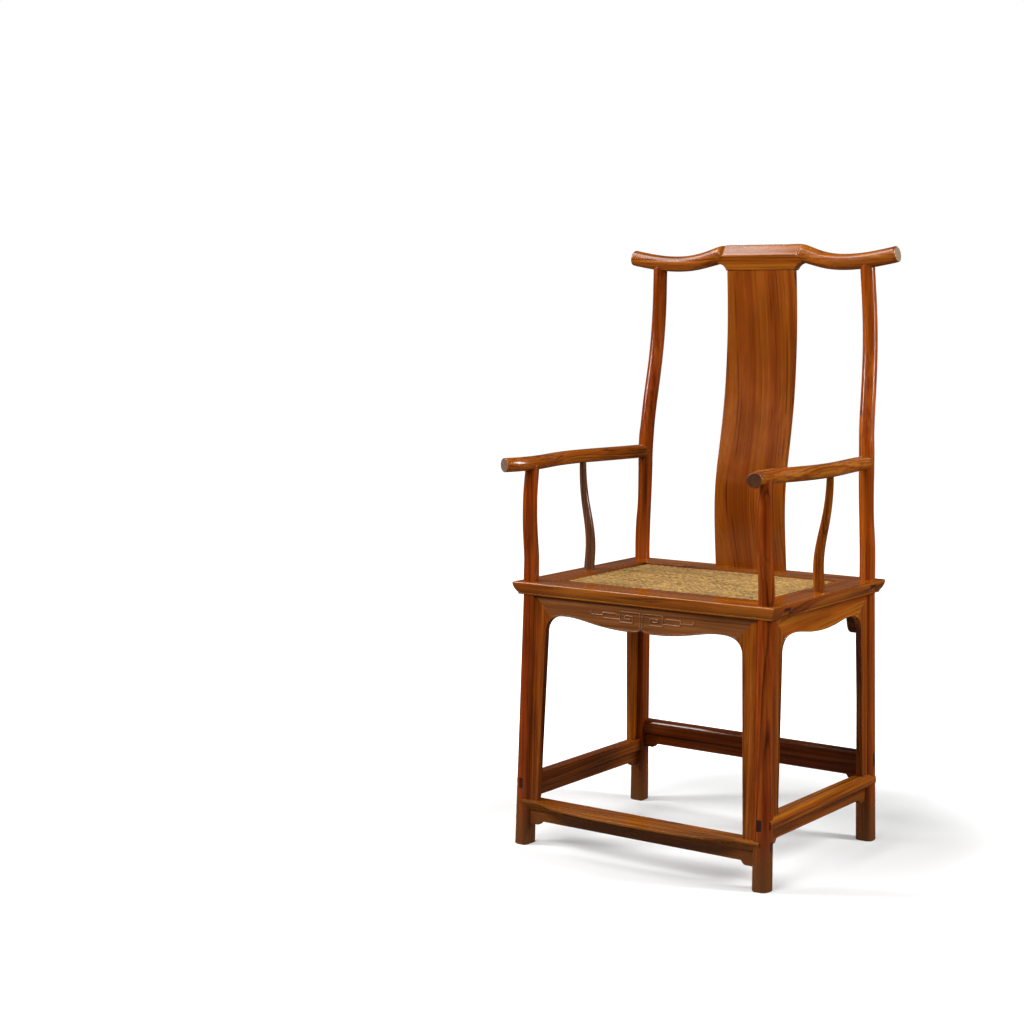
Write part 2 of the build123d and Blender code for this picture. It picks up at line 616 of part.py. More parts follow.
def brace_tenons(x, grow=0.0):
    """Boxes for the two end tenons of the brace at x."""
    half_width = BRACE_WIDTH / 2 - BRACE_EASING
    tenon_z = LEDGE_Z - BRACE_CLEAR - BRACE_THICKNESS / 2
    with BuildPart() as tenons:
        for shoulder, outward in ((SEAT_FRONT + RAIL_DEPTH, -1), (SEAT_REAR - RAIL_DEPTH, 1)):
            ends = sorted((shoulder - outward * BRACE_EASING, shoulder + outward * BRACE_TENON_LENGTH))
            add(box_between(
                (x - half_width, ends[0], tenon_z - BRACE_TENON_THICKNESS / 2),
                (x + half_width, ends[1], tenon_z + BRACE_TENON_THICKNESS / 2),
                grow,
            ))
    return tenons.part


def brace(x):
    """A bowed brace under the soft seat, from the front rail to the rear one."""
    front = SEAT_FRONT + RAIL_DEPTH
    rear = SEAT_REAR - RAIL_DEPTH
    top = LEDGE_Z - BRACE_CLEAR
    middle = (front + rear) / 2
    with BuildPart() as bar:
        with BuildSketch(Plane.YZ.offset(x)):
            with BuildLine():
                ThreePointArc((front, top), (middle, top - BRACE_BOW), (rear, top))
                Line((rear, top), (rear, top - BRACE_THICKNESS))
                ThreePointArc(
                    (rear, top - BRACE_THICKNESS),
                    (middle, top - BRACE_BOW - BRACE_THICKNESS),
                    (front, top - BRACE_THICKNESS),
                )
                Line((front, top - BRACE_THICKNESS), (front, top))
            make_face()
        extrude(amount=BRACE_WIDTH / 2, both=True)
        fillet(bar.edges().filter_by(GeomType.CIRCLE), BRACE_EASING)
        add(brace_tenons(x))
    return bar.part


def pin_spots():
    """Places of the pins along the four edge strips, seen from above."""
    half_x = HALF_WIDTH - RAIL_WIDTH - SOFT_GAP - STRIP_WIDTH / 2
    half_y = SEAT_DEPTH / 2 - RAIL_WIDTH - SOFT_GAP - STRIP_WIDTH / 2
    spots = []
    for half_run, across in ((half_x, half_y), (half_y, half_x)):
        reach = half_run - PIN_INSET
        count = round(2 * reach / PIN_SPACING) + 1
        for i in range(count):
            run = blend(-reach, reach, i / (count - 1))
            for side_of_seat in (-across, across):
                spot = (run, side_of_seat) if half_run == half_x else (side_of_seat, run)
                spots.append((spot[0], spot[1] + SEAT_SHIFT))
    return spots


def pins():
    """All the pins of the edge strips, flush with the strips' tops."""
    with BuildPart() as row:
        with BuildSketch(Plane.XY.offset(SEAT_HEIGHT)):
            with Locations(*pin_spots()):
                Circle(PIN_RADIUS)
        extrude(amount=-PIN_LENGTH)
    return row.part


# ================================================================ aprons and stretchers before jointing
def front_leg_inner(z):
    """Inner face of the right front leg, as a distance from the middle of the chair."""
    return leg_x(z) - leg_radius(z)


def front_leg_inner_left(z):
    """Inner face of the left front leg."""
    return -front_leg_inner(z)


def front_leg_back(z):
    """Rear face of the front legs below the seat."""
    return front_leg_y(z) + leg_radius(z)


def rear_leg_front(z):
    """Front face of the rear legs below the seat."""
    return rear_leg_y(z) - leg_radius(z)


# planes through the legs' centre lines (the rear one upright), with normals outwards
FRONT_PLANE = Plane(
    origin=(0, front_leg_y(0), 0),
    x_dir=(1, 0, 0),
    z_dir=(0, -FRAME_UNDERSIDE, FRONT_LEG_Y + FOOT_HALF_SPAN_Y),
)
RIGHT_PLANE = Plane(
    origin=(leg_x(0), 0, 0),
    x_dir=(0, 1, 0),
    z_dir=(FRAME_UNDERSIDE, 0, FOOT_HALF_SPAN_X - LEG_X),
)
REAR_PLANE = Plane(origin=(0, REAR_LEG_Y, 0), x_dir=(-1, 0, 0), z_dir=(0, 1, 0))


def board_width(z):
    """Width of an apron's side board at a height."""
    return blend(BOARD_WIDTH_FLOOR, BOARD_WIDTH_TOP, z / FRAME_UNDERSIDE)


def arch_opening(low_face, high_face, dip_drop, dip_half_length, cusp_rise):
    """An apron's opening between two legs' faces, in its own plane: arched above, open to the floor.

    Returns the opening, the opening with its bead, and the two points where the boards' mitres end.
    """
    spring_z = FRAME_UNDERSIDE - SPRING_DROP
    low_floor = (low_face(0) + board_width(0), 0)
    high_floor = (high_face(0) - board_width(0), 0)
    low_spring = (low_face(spring_z) + board_width(spring_z), spring_z)
    high_spring = (high_face(spring_z) - board_width(spring_z), spring_z)
    middle = (low_spring[0] + high_spring[0]) / 2
    half = (high_spring[0] - low_spring[0]) / 2
    dip_z = FRAME_UNDERSIDE - dip_drop
    shoulder = (half - SHOULDER_INSET, FRAME_UNDERSIDE - SHOULDER_DROP)
    rise = (blend(dip_half_length, shoulder[0], RISE_ALONG), blend(dip_z, shoulder[1], RISE_UP))
    corner = (half - CORNER_INSET, FRAME_UNDERSIDE - CORNER_DROP)
    turn = (half - TURN_INSET, FRAME_UNDERSIDE - TURN_DROP)
    high_curve = [(middle + u, z) for u, z in (rise, shoulder, corner, turn)] + [high_spring]
    low_curve = [(2 * middle - u, z) for u, z in reversed(high_curve)]
    up_low = (Vector(low_spring) - Vector(low_floor)).normalized()
    down_high = (Vector(high_floor) - Vector(high_spring)).normalized()
    with BuildLine(mode=Mode.PRIVATE) as edges:
        if cusp_rise:
            low_dip = (middle - dip_half_length, dip_z)
            high_dip = (middle + dip_half_length, dip_z)
            cusp = (middle, dip_z + cusp_rise)
            arcs = [
                Spline(*low_curve, low_dip, tangents=(up_low, (1, 0)), tangent_scalars=EVEN),
                Spline(low_dip, cusp, tangents=((1, 0), (1, CUSP_SLOPE)), tangent_scalars=EVEN),
                Spline(cusp, high_dip, tangents=((1, -CUSP_SLOPE), (1, 0)), tangent_scalars=EVEN),
                Spline(high_dip, *high_curve, tangents=((1, 0), down_high), tangent_scalars=EVEN),
            ]
        else:
            arcs = [Spline(
                *low_curve, (middle, dip_z), *high_curve,
                tangents=(up_low, down_high), tangent_scalars=EVEN,
            )]
    outlines = []
    for out in (0.0, BEAD_WIDTH):
        low_out = Vector(-up_low.Y, up_low.X) * out
        high_out = Vector(-down_high.Y, down_high.X) * out
        start = Vector(low_floor) + low_out
        end = Vector(high_floor) + high_out
        with BuildSketch(mode=Mode.PRIVATE) as outline:
            with BuildLine():
                here = Line(start, Vector(low_spring) + low_out) @ 1
                for arc in arcs:
                    spots = beside(arc, out)
                    if (spots[0] - here).length > FIT:
                        Line(here, spots[0])
                    Spline(*spots)
                    here = spots[-1]
                Line(here, end)
                Line(end, start)
            make_face()
        outlines.append(outline.sketch)
    return outlines[0], outlines[1], low_curve[2], high_curve[2]


def beside(edge, distance):
    """Points along an edge, moved to its left by a distance."""
    spots = []
    for i in range(BEAD_STEPS + 1):
        share = i / BEAD_STEPS
        run = edge % share
        spots.append(edge @ share + Vector(-run.Y, run.X) * distance)
    return spots


def between_levels(bottom, top):
    """A slab of space between two heights, wider than the chair."""
    return box_between((-FAR, -FAR, bottom), (FAR, FAR, top))


def board_face(low_face, high_face, grow=0.0):
    """The leaning upright face between two legs' faces, in its own plane, grow wider at each side."""
    with BuildSketch(mode=Mode.PRIVATE) as face:
        Polygon(
            (low_face(0) - grow, 0),
            (high_face(0) + grow, 0),
            (high_face(SEAT_HEIGHT) + grow, SEAT_HEIGHT),
            (low_face(SEAT_HEIGHT) - grow, SEAT_HEIGHT),
            align=None,
        )
    return face.sketch


def side_region(plane, face, corner):
    """The part of an apron's face that is a side board: from the leg's face in to the mitre."""
    top = Vector(face(FRAME_UNDERSIDE), FRAME_UNDERSIDE)
    beyond = top + (top - Vector(*corner))
    with BuildPart() as region:
        with BuildSketch(plane):
            Polygon((beyond.X, 0), (corner[0], 0), corner, (beyond.X, beyond.Y), align=None)
        extrude(amount=2 * APRON_THICKNESS, both=True)
    return region.part


def tongue(plane, face, outward, bottom, grow=0.0):
    """The tongue of a side board, let into the leg beside it; outward is -1 at the low face."""
    reach = outward * (TONGUE_LENGTH + (END_GAP if grow else 0))
    root = -outward * (grow or BOARD_CLEAR)
    with BuildPart() as strip_of_wood:
        with BuildSketch(plane.offset(APRON_FORE - APRON_THICKNESS / 2)):
            Polygon(
                (face(0) + root, 0),
                (face(0) + reach, 0),
                (face(SEAT_HEIGHT) + reach, SEAT_HEIGHT),
                (face(SEAT_HEIGHT) + root, SEAT_HEIGHT),
                align=None,
            )
        extrude(amount=TONGUE_THICKNESS / 2 + grow, both=True)
        add(between_levels(bottom, FRAME_UNDERSIDE), mode=Mode.INTERSECT)
    return strip_of_wood.part


def apron(plane, low_face, high_face, bottom, dip_drop, dip_half_length=0.0, cusp_rise=0.0):
    """An arched apron as three boards mitred together: the top board, the low side and the high side."""
    opening, beaded_opening, low_corner, high_corner = arch_opening(
        low_face, high_face, dip_drop, dip_half_length, cusp_rise
    )
    low_region = side_region(plane, low_face, low_corner)
    high_region = side_region(plane, high_face, high_corner)
    with BuildPart() as whole:
        with BuildSketch(plane.offset(APRON_FORE + BEAD_RISE)):
            add(board_face(low_face, high_face, -BOARD_CLEAR))
            add(opening, mode=Mode.SUBTRACT)
        extrude(amount=-APRON_THICKNESS - BEAD_RISE)
        # the face falls back from the raised bead along the opening
        with BuildSketch(plane.offset(APRON_FORE + BEAD_RISE)):
            add(board_face(low_face, high_face))
            add(beaded_opening, mode=Mode.SUBTRACT)
        extrude(amount=-BEAD_RISE, mode=Mode.SUBTRACT)
        add(between_levels(bottom, FRAME_UNDERSIDE), mode=Mode.INTERSECT)
    with BuildPart() as top_board:
        add(whole.part)
        add(low_region, mode=Mode.SUBTRACT)
        add(high_region, mode=Mode.SUBTRACT)
    with BuildPart() as low_board:
        add(whole.part)
        add(low_region, mode=Mode.INTERSECT)
        add(tongue(plane, low_face, -1, bottom))
    with BuildPart() as high_board:
        add(whole.part)
        add(high_region, mode=Mode.INTERSECT)
        add(tongue(plane, high_face, 1, bottom))
    return top_board.part, low_board.part, high_board.part


def spandrel_apron(plane, ends, levels, spandrel, faces, grow=0.0):
    """A plain apron with a small spandrel at each end, let into the legs at both ends.

    ends are its two ends, levels its top and bottom, spandrel the spandrels' (drop, length, step) and
    faces its back and front, out from the plane.
    """
    low, high = ends
    top, bottom = levels
    drop, length, step = spandrel
    with BuildPart() as board:
        with BuildSketch(plane.offset(faces[0] - grow)):
            with BuildLine():
                Line((low, bottom - drop), (low, top))
                Line((low, top), (high, top))
                Line((high, top), (high, bottom - drop))
                Line((high, bottom - drop), (high - length + step, bottom - drop))
                Spline(
                    (high - length + step, bottom - drop), (high - length, bottom),
                    tangents=((-1, 0), (-1, SPANDREL_END_SLOPE)), tangent_scalars=EVEN,
                )
                Line((high - length, bottom), (low + length, bottom))
                Spline(
                    (low + length, bottom), (low + length - step, bottom - drop),
                    tangents=((-1, -SPANDREL_END_SLOPE), (-1, 0)), tangent_scalars=EVEN,
                )
                Line((low + length - step, bottom - drop), (low, bottom - drop))
            make_face()
            if grow:
                offset(amount=grow, kind=Kind.INTERSECTION)
        extrude(amount=faces[1] - faces[0] + 2 * grow)
    return board.part


def stretcher_bar(plane, length, height):
    """A stretcher with a rounded nose, along the plane's Z, its centre line at the plane's origin."""
    with BuildPart() as bar:
        with BuildSketch(plane) as section:
            with Locations(((STRETCHER_NOSE - STRETCHER_BACK) / 2, 0)):
                Rectangle(STRETCHER_NOSE + STRETCHER_BACK, height)
            fillet(section.vertices().group_by(Axis(plane.origin, plane.x_dir))[-1], height * NOSE_SHARE)
            fillet(section.vertices().group_by(Axis(plane.origin, plane.x_dir))[0], STRETCHER_EASING)
        extrude(amount=length / 2, both=True)
    return bar.part


# ---- footrest
footrest_leg_y = front_leg_y(FOOTREST_TOP)
footrest_leg_x = leg_x(FOOTREST_TOP)
FOOTREST_UNDERSIDE = FOOTREST_TOP - FOOTREST_THICKNESS


def footrest_plan(fore, bow):
    """The footrest's plan at one level: straight at its back and ends, bowed in front."""
    half = footrest_leg_x + FOOTREST_LAP
    start = footrest_leg_x - FOOTREST_BOW_INSET
    back_y = footrest_leg_y + FOOTREST_BACK
    fore_y = footrest_leg_y - fore
    with BuildSketch(mode=Mode.PRIVATE) as plan:
        with BuildLine():
            Polyline(
                (-start, fore_y), (-half, fore_y), (-half, back_y),
                (half, back_y), (half, fore_y), (start, fore_y),
            )
            right = [(start * share, fore_y - bow * part) for share, part in FOOTREST_CURVE]
            left = [(-x, y) for x, y in reversed(right)]
            Spline((start, fore_y), *right, (0, fore_y - bow), *left, (-start, fore_y))
        make_face()
    return plan.sketch


def footrest_bar():
    """The footrest before it is jointed: an upright lip, undercut below to a straight foot."""
    lip_z = FOOTREST_TOP - FOOTREST_LIP
    with BuildPart() as bar:
        with BuildSketch(Plane.XY.offset(lip_z)):
            add(footrest_plan(FOOTREST_FORE, FOOTREST_BOW))
        extrude(amount=FOOTREST_LIP)
        with BuildSketch(Plane.XY.offset(lip_z)) as upper:
            add(footrest_plan(FOOTREST_FORE, FOOTREST_BOW))
        with BuildSketch(Plane.XY.offset(FOOTREST_UNDERSIDE)) as lower:
            add(footrest_plan(FOOTREST_FOOT, FOOTREST_FOOT_BOW))
        loft([upper.sketch, lower.sketch], ruled=True)
    return bar.part


def footrest_tenon(grow=0.0):
    """Box through both front legs for the footrest's tenons."""
    half_thickness = FOOTREST_TENON_THICKNESS / 2
    middle_y = footrest_leg_y + FOOTREST_TENON_BACK
    reach = leg_x(FOOTREST_TOP) + past_leg(FOOTREST_TOP)
    return box_between(
        (-reach, middle_y - half_thickness, FOOTREST_UNDERSIDE + TENON_SHOULDER),
        (reach, middle_y + half_thickness, FOOTREST_TOP - TENON_SHOULDER),
        grow,
    )


# ---- side and back stretchers
side_stretcher_z = SIDE_STRETCHER_TOP - SIDE_STRETCHER_HEIGHT / 2
back_stretcher_z = BACK_STRETCHER_TOP - BACK_STRETCHER_HEIGHT / 2
side_stretcher_x = leg_x(side_stretcher_z)
back_stretcher_y = rear_leg_y(back_stretcher_z)
side_stretcher_ends = (front_leg_y(side_stretcher_z), rear_leg_y(side_stretcher_z))
SIDE_STRETCHER_PLANE = Plane(
    origin=(side_stretcher_x, sum(side_stretcher_ends) / 2, side_stretcher_z),
    x_dir=(1, 0, 0),
    z_dir=(0, -1, 0),
)
BACK_STRETCHER_PLANE = Plane(
    origin=(0, back_stretcher_y, back_stretcher_z),
    x_dir=(0, 1, 0),
    z_dir=(1, 0, 0),
)


def side_stretcher_tenon(grow=0.0):
    """Box through the right legs for the side stretcher's tenons."""
    half_thickness = STRETCHER_TENON_THICKNESS / 2
    half_height = SIDE_STRETCHER_HEIGHT / 2 - TENON_SHOULDER
    front, rear = side_stretcher_ends
    reach = past_leg(side_stretcher_z)
    return box_between(
        (side_stretcher_x - half_thickness, front - reach, side_stretcher_z - half_height),
        (side_stretcher_x + half_thickness, rear + reach, side_stretcher_z + half_height),
        grow,
    )


def back_stretcher_tenon(grow=0.0):
    """Box through the rear legs for the back stretcher's tenons."""
    half_thickness = STRETCHER_TENON_THICKNESS / 2
    half_height = BACK_STRETCHER_HEIGHT / 2 - TENON_SHOULDER
    reach = leg_x(back_stretcher_z) + past_leg(back_stretcher_z)
    return box_between(
        (-reach, back_stretcher_y - half_thickness, back_stretcher_z - half_height),
        (reach, back_stretcher_y + half_thickness, back_stretcher_z + half_height),
        grow,
    )


# ---- plain aprons with spandrels, under the stretchers and at the back of the seat
def stretcher_apron_faces():
    """Back and front faces of a stretcher's apron, about the legs' centre lines."""
    return (-SPANDREL_APRON_THICKNESS / 2, SPANDREL_APRON_THICKNESS / 2)


def footrest_apron(grow=0.0):
    """The apron under the footrest, standing a little behind the legs' front faces."""
    half = front_leg_inner(FOOTREST_UNDERSIDE) + SPANDREL_TONGUE
    bottom = FOOTREST_UNDERSIDE - SPANDREL_APRON_DROP
    return spandrel_apron(
        Plane(origin=(0, footrest_leg_y, 0), x_dir=(1, 0, 0), z_dir=(0, -1, 0)),
        (-half, half),
        (FOOTREST_UNDERSIDE, bottom),
        (SPANDREL_DROP, SPANDREL_LENGTH + SPANDREL_TONGUE, SPANDREL_STEP),
        stretcher_apron_faces(),
        grow,
    )


def side_stretcher_apron(grow=0.0):
    """The apron under the right side stretcher."""
    top = SIDE_STRETCHER_TOP - SIDE_STRETCHER_HEIGHT
    return spandrel_apron(
        Plane(origin=(side_stretcher_x, 0, 0), x_dir=(0, 1, 0), z_dir=(1, 0, 0)),
        (front_leg_back(top) - SPANDREL_TONGUE, rear_leg_front(top) + SPANDREL_TONGUE),
        (top, top - SPANDREL_APRON_DROP),
        (SPANDREL_DROP, SPANDREL_LENGTH + SPANDREL_TONGUE, SPANDREL_STEP),
        stretcher_apron_faces(),
        grow,
    )


def back_stretcher_apron(grow=0.0):
    """The apron under the back stretcher."""
    top = BACK_STRETCHER_TOP - BACK_STRETCHER_HEIGHT
    half = front_leg_inner(top) + SPANDREL_TONGUE
    return spandrel_apron(
        Plane(origin=(0, back_stretcher_y, 0), x_dir=(-1, 0, 0), z_dir=(0, 1, 0)),
        (-half, half),
        (top, top - SPANDREL_APRON_DROP),
        (SPANDREL_DROP, SPANDREL_LENGTH + SPANDREL_TONGUE, SPANDREL_STEP),
        stretcher_apron_faces(),
        grow,
    )


def back_apron_board(grow=0.0):
    """The plain apron at the back of the seat frame."""
    half = front_leg_inner(FRAME_UNDERSIDE) + TONGUE_LENGTH
    return spandrel_apron(
        REAR_PLANE,
        (-half, half),
        (FRAME_UNDERSIDE, FRAME_UNDERSIDE - BACK_APRON_DROP),
        (BACK_SPANDREL_DROP, BACK_SPANDREL_LENGTH + TONGUE_LENGTH, BACK_SPANDREL_STEP),
        (APRON_FORE - APRON_THICKNESS, APRON_FORE),
        grow,
    )


# ================================================================ pegs and mortises shared by the pieces
def crest_peg(grow=0.0):
    """Round tenon on the right rear post's top, up into the crest rail."""
    return upright_peg(
        CREST_POST_X, BACK_POST_TOP_Y,
        CREST_POST_Z - POST_TENON_ROOT, CREST_POST_Z + POST_TENON_RISE + (END_GAP if grow else 0),
        POST_TENON_RADIUS + grow,
    )


def arm_peg(grow=0.0):
    """Round tenon on the right front post's top, up into the armrest."""
    return upright_peg(
        ARM_FRONT_X, ARM_FRONT_Y,
        ARM_Z - POST_TENON_ROOT, ARM_Z + POST_TENON_RISE + (END_GAP if grow else 0),
        POST_TENON_RADIUS + grow,
    )


def side_post_top_peg(grow=0.0):
    """Round tenon on the right side post's top, up into the armrest."""
    x, y, z = side_post_head
    return upright_peg(
        x, y, z - POST_TENON_ROOT, z + POST_TENON_RISE + (END_GAP if grow else 0),
        SIDE_POST_TENON_RADIUS + grow,
    )


def side_post_foot_peg(grow=0.0):
    """Round tenon under the right side post, down into the side rail."""
    depth = SIDE_POST_FOOT_TENON_LENGTH + (END_GAP if grow else 0)
    return upright_peg(
        *side_post_foot, SEAT_HEIGHT - depth, SEAT_HEIGHT + FIT, SIDE_POST_FOOT_TENON_RADIUS + grow
    )


def arm_rear_tenon(grow=0.0):
    """Round tenon on the right armrest's rear end, back into the rear post."""
    end = ARM_REAR[1] - ARM_TENON_SHORT + (END_GAP if grow else 0)
    with BuildPart() as tenon:
        with BuildSketch(Plane.XZ.offset(-end)):
            with Locations((ARM_REAR[0], ARM_REAR[2])):
                Circle(POST_TENON_RADIUS + grow)
        extrude(amount=LEG_RADIUS + POST_TENON_ROOT)
    return tenon.part


# ================================================================ the pieces
def finish(piece, name):
    """Label a finished piece and write its STEP file."""
    piece.label = name
    export_step(piece, f"parts/{name}.step")



# ---- crest rail
with BuildPart() as crest_rail:
    add(crest_blank)
    for side, flip in SIDES:
        add(on_side(crest_peg(FIT), flip), mode=Mode.SUBTRACT)
    add(splat_groove(SKIRT_Z, SPLAT_HALF_WIDTH_TOP, SPLAT_TOP_Y), mode=Mode.SUBTRACT)
finish(crest_rail.part, "crest_rail")

# ---- back splat
with BuildPart() as back_splat:
    faces = [
        (SPLAT_Y + SPLAT_SWAY * sway, blend(SEAT_HEIGHT, SKIRT_Z, share))
        for share, sway in SPLAT_CURVE
    ]
    with BuildSketch(Plane.YZ):
        with BuildLine():
            Spline(*faces)
            Line(faces[-1], (faces[-1][0] + SPLAT_THICKNESS, SKIRT_Z))
            Spline(*[(y + SPLAT_THICKNESS, z) for y, z in reversed(faces)])
            Line((SPLAT_Y + SPLAT_THICKNESS, SEAT_HEIGHT), (SPLAT_Y, SEAT_HEIGHT))
        make_face()
    extrude(amount=SPLAT_HALF_WIDTH_BOTTOM, both=True)
    with BuildSketch(Plane.XZ):
        Polygon(
            (-SPLAT_HALF_WIDTH_BOTTOM, SEAT_HEIGHT), (SPLAT_HALF_WIDTH_BOTTOM, SEAT_HEIGHT),
            (SPLAT_HALF_WIDTH_TOP, SKIRT_Z), (-SPLAT_HALF_WIDTH_TOP, SKIRT_Z),
            align=None,
        )
    extrude(amount=FAR, both=True, mode=Mode.INTERSECT)
    long_edges = [edge for edge in back_splat.edges() if edge.length > BACK_RISE / 2]
    fillet(long_edges, SPLAT_EASING)
    for z, y, half_width in (
        (SEAT_HEIGHT - SPLAT_TONGUE, SPLAT_Y, SPLAT_HALF_WIDTH_BOTTOM),
        (SKIRT_Z, SPLAT_TOP_Y, SPLAT_HALF_WIDTH_TOP),
    ):
        low = (-half_width + SPLAT_EASING, y, z)
        high = (half_width - SPLAT_EASING, y + SPLAT_THICKNESS, z + SPLAT_TONGUE)
        add(box_between(low, high))
finish(back_splat.part, "back_splat")

# ---- front and rear legs, each running on through the seat frame as a post
with BuildPart() as rear_leg:
    add(rear_leg_blank)
    add(crest_blank, mode=Mode.SUBTRACT)
    add(crest_peg())
    add(arm_rear_tenon(FIT), mode=Mode.SUBTRACT)
    add(side_stretcher_tenon(FIT), mode=Mode.SUBTRACT)
    add(back_stretcher_tenon(FIT), mode=Mode.SUBTRACT)
    add(side_stretcher_apron(FIT), mode=Mode.SUBTRACT)
    add(back_stretcher_apron(FIT), mode=Mode.SUBTRACT)
    add(back_apron_board(FIT), mode=Mode.SUBTRACT)
    add(tongue(RIGHT_PLANE, rear_leg_front, 1, SIDE_STRETCHER_TOP, FIT), mode=Mode.SUBTRACT)

with BuildPart() as front_leg:
    add(front_leg_blank)
    add(arm_blank, mode=Mode.SUBTRACT)
    add(arm_peg())
    add(footrest_tenon(FIT), mode=Mode.SUBTRACT)
    add(side_stretcher_tenon(FIT), mode=Mode.SUBTRACT)
    add(footrest_apron(FIT), mode=Mode.SUBTRACT)
    add(side_stretcher_apron(FIT), mode=Mode.SUBTRACT)
    add(tongue(FRONT_PLANE, front_leg_inner, 1, FOOTREST_TOP, FIT), mode=Mode.SUBTRACT)
    add(tongue(RIGHT_PLANE, front_leg_back, -1, SIDE_STRETCHER_TOP, FIT), mode=Mode.SUBTRACT)

# ---- armrests and side posts
with BuildPart() as armrest:
    add(arm_blank)
    add(rear_leg_blank, mode=Mode.SUBTRACT)
    add(arm_rear_tenon())
    add(arm_peg(FIT), mode=Mode.SUBTRACT)
    add(side_post_top_peg(FIT), mode=Mode.SUBTRACT)

with BuildPart() as side_post_piece:
    add(side_post_blank)
    add(arm_blank, mode=Mode.SUBTRACT)
    add(side_post_top_peg())
    add(side_post_foot_peg())

# ---- seat frame
with BuildPart() as side_rail:
    add(side_rail_blank)
    add(leg_holes(FIT), mode=Mode.SUBTRACT)
    add(rail_tenon(FRONT_LEG_Y, 1, FIT), mode=Mode.SUBTRACT)
    add(rail_tenon(REAR_LEG_Y, -1, FIT), mode=Mode.SUBTRACT)
    add(side_post_foot_peg(FIT), mode=Mode.SUBTRACT)
    add(pins(), mode=Mode.SUBTRACT)

for side, flip in SIDES:
    for piece, name in (
        (rear_leg, "rear_leg"), (front_leg, "front_leg"), (armrest, "armrest"),
        (side_post_piece, "side_post"), (side_rail, "seat_rail"),
    ):
        finish(on_side(piece.part, flip), f"{name}_{side}")

for name, blank, near_leg_y, inward in (
    ("front", front_rail_blank, FRONT_LEG_Y, 1),
    ("rear", rear_rail_blank, REAR_LEG_Y, -1),
):
    with BuildPart() as cross_rail:
        add(blank)
        add(leg_holes(FIT), mode=Mode.SUBTRACT)
        for side, flip in SIDES:
            tenon = rail_tenon(near_leg_y, inward) & side_rail_blank
            add(on_side(tenon, flip))
            add(brace_tenons(flip * BRACE_HALF_SPACING, FIT), mode=Mode.SUBTRACT)
        add(pins(), mode=Mode.SUBTRACT)
        if name == "rear":
            add(splat_groove(SEAT_HEIGHT, SPLAT_HALF_WIDTH_BOTTOM, SPLAT_Y), mode=Mode.SUBTRACT)
    finish(cross_rail.part, f"seat_rail_{name}")

# ---- soft seat: braces, webbing, mat, edge strips and their pins
for side, flip in SIDES:
    finish(brace(flip * BRACE_HALF_SPACING), f"seat_brace_{side}")

soft_half_x = HALF_WIDTH - RAIL_WIDTH - SOFT_GAP
soft_half_y = SEAT_DEPTH / 2 - RAIL_WIDTH - SOFT_GAP
for name, bottom, thickness in (
    ("palm_webbing", LEDGE_Z, WEBBING_THICKNESS),
    ("cane_mat", LEDGE_Z + WEBBING_THICKNESS, MAT_THICKNESS),
):
    with BuildPart() as sheet_of_seat:
        add(box_between(
            (-soft_half_x, SEAT_SHIFT - soft_half_y, bottom),
            (soft_half_x, SEAT_SHIFT + soft_half_y, bottom + thickness),
        ))
        add(pins(), mode=Mode.SUBTRACT)
    finish(sheet_of_seat.part, name)

for name, middle, outward, half_length in (
    ("left", (-soft_half_x, SEAT_SHIFT, SEAT_HEIGHT), (-1, 0, 0), soft_half_y),
    ("right", (soft_half_x, SEAT_SHIFT, SEAT_HEIGHT), (1, 0, 0), soft_half_y),
    ("front", (0, SEAT_SHIFT - soft_half_y, SEAT_HEIGHT), (0, -1, 0), soft_half_x),
    ("rear", (0, SEAT_SHIFT + soft_half_y, SEAT_HEIGHT), (0, 1, 0), soft_half_x),
):
    with BuildPart() as edge_strip:
        add(strip(middle, outward, half_length))
        add(pins(), mode=Mode.SUBTRACT)
    finish(edge_strip.part, f"edge_strip_{name}")
finish(pins(), "strip_pins")

# ---- arched aprons
front_boards = apron(
    FRONT_PLANE, front_leg_inner_left, front_leg_inner, FOOTREST_TOP,
    FRONT_DIP_DROP, FRONT_DIP_HALF_LENGTH, FRONT_CUSP_RISE,
)
finish(front_boards[0], "front_apron_top")
for side, flip in SIDES:
    finish(on_side(front_boards[-1], flip), f"front_apron_{side}")

side_boards = apron(RIGHT_PLANE, front_leg_back, rear_leg_front, SIDE_STRETCHER_TOP, SIDE_DIP_DROP)
for side, flip in SIDES:
    for board, name in zip(side_boards, ("top", "front", "rear")):
        finish(on_side(board, flip), f"side_apron_{side}_{name}")
finish(back_apron_board(), "back_apron")

# ---- footrest and its apron
with BuildPart() as footrest:
    add(footrest_bar())
    for side, flip in SIDES:
        add(on_side(front_leg_blank, flip), mode=Mode.SUBTRACT)
        add(on_side(footrest_tenon() & front_leg_blank, flip))
finish(footrest.part, "footrest")
finish(footrest_apron(), "footrest_apron")

# ---- side and back stretchers and their aprons
with BuildPart() as side_stretcher:
    add(stretcher_bar(
        SIDE_STRETCHER_PLANE,
        side_stretcher_ends[1] - side_stretcher_ends[0] + 2 * STRETCHER_LAP,
        SIDE_STRETCHER_HEIGHT,
    ))
    for leg in (front_leg_blank, rear_leg_blank):
        add(leg, mode=Mode.SUBTRACT)
        add(side_stretcher_tenon() & leg)
for side, flip in SIDES:
    finish(on_side(side_stretcher.part, flip), f"side_stretcher_{side}")
    finish(on_side(side_stretcher_apron(), flip), f"side_stretcher_apron_{side}")

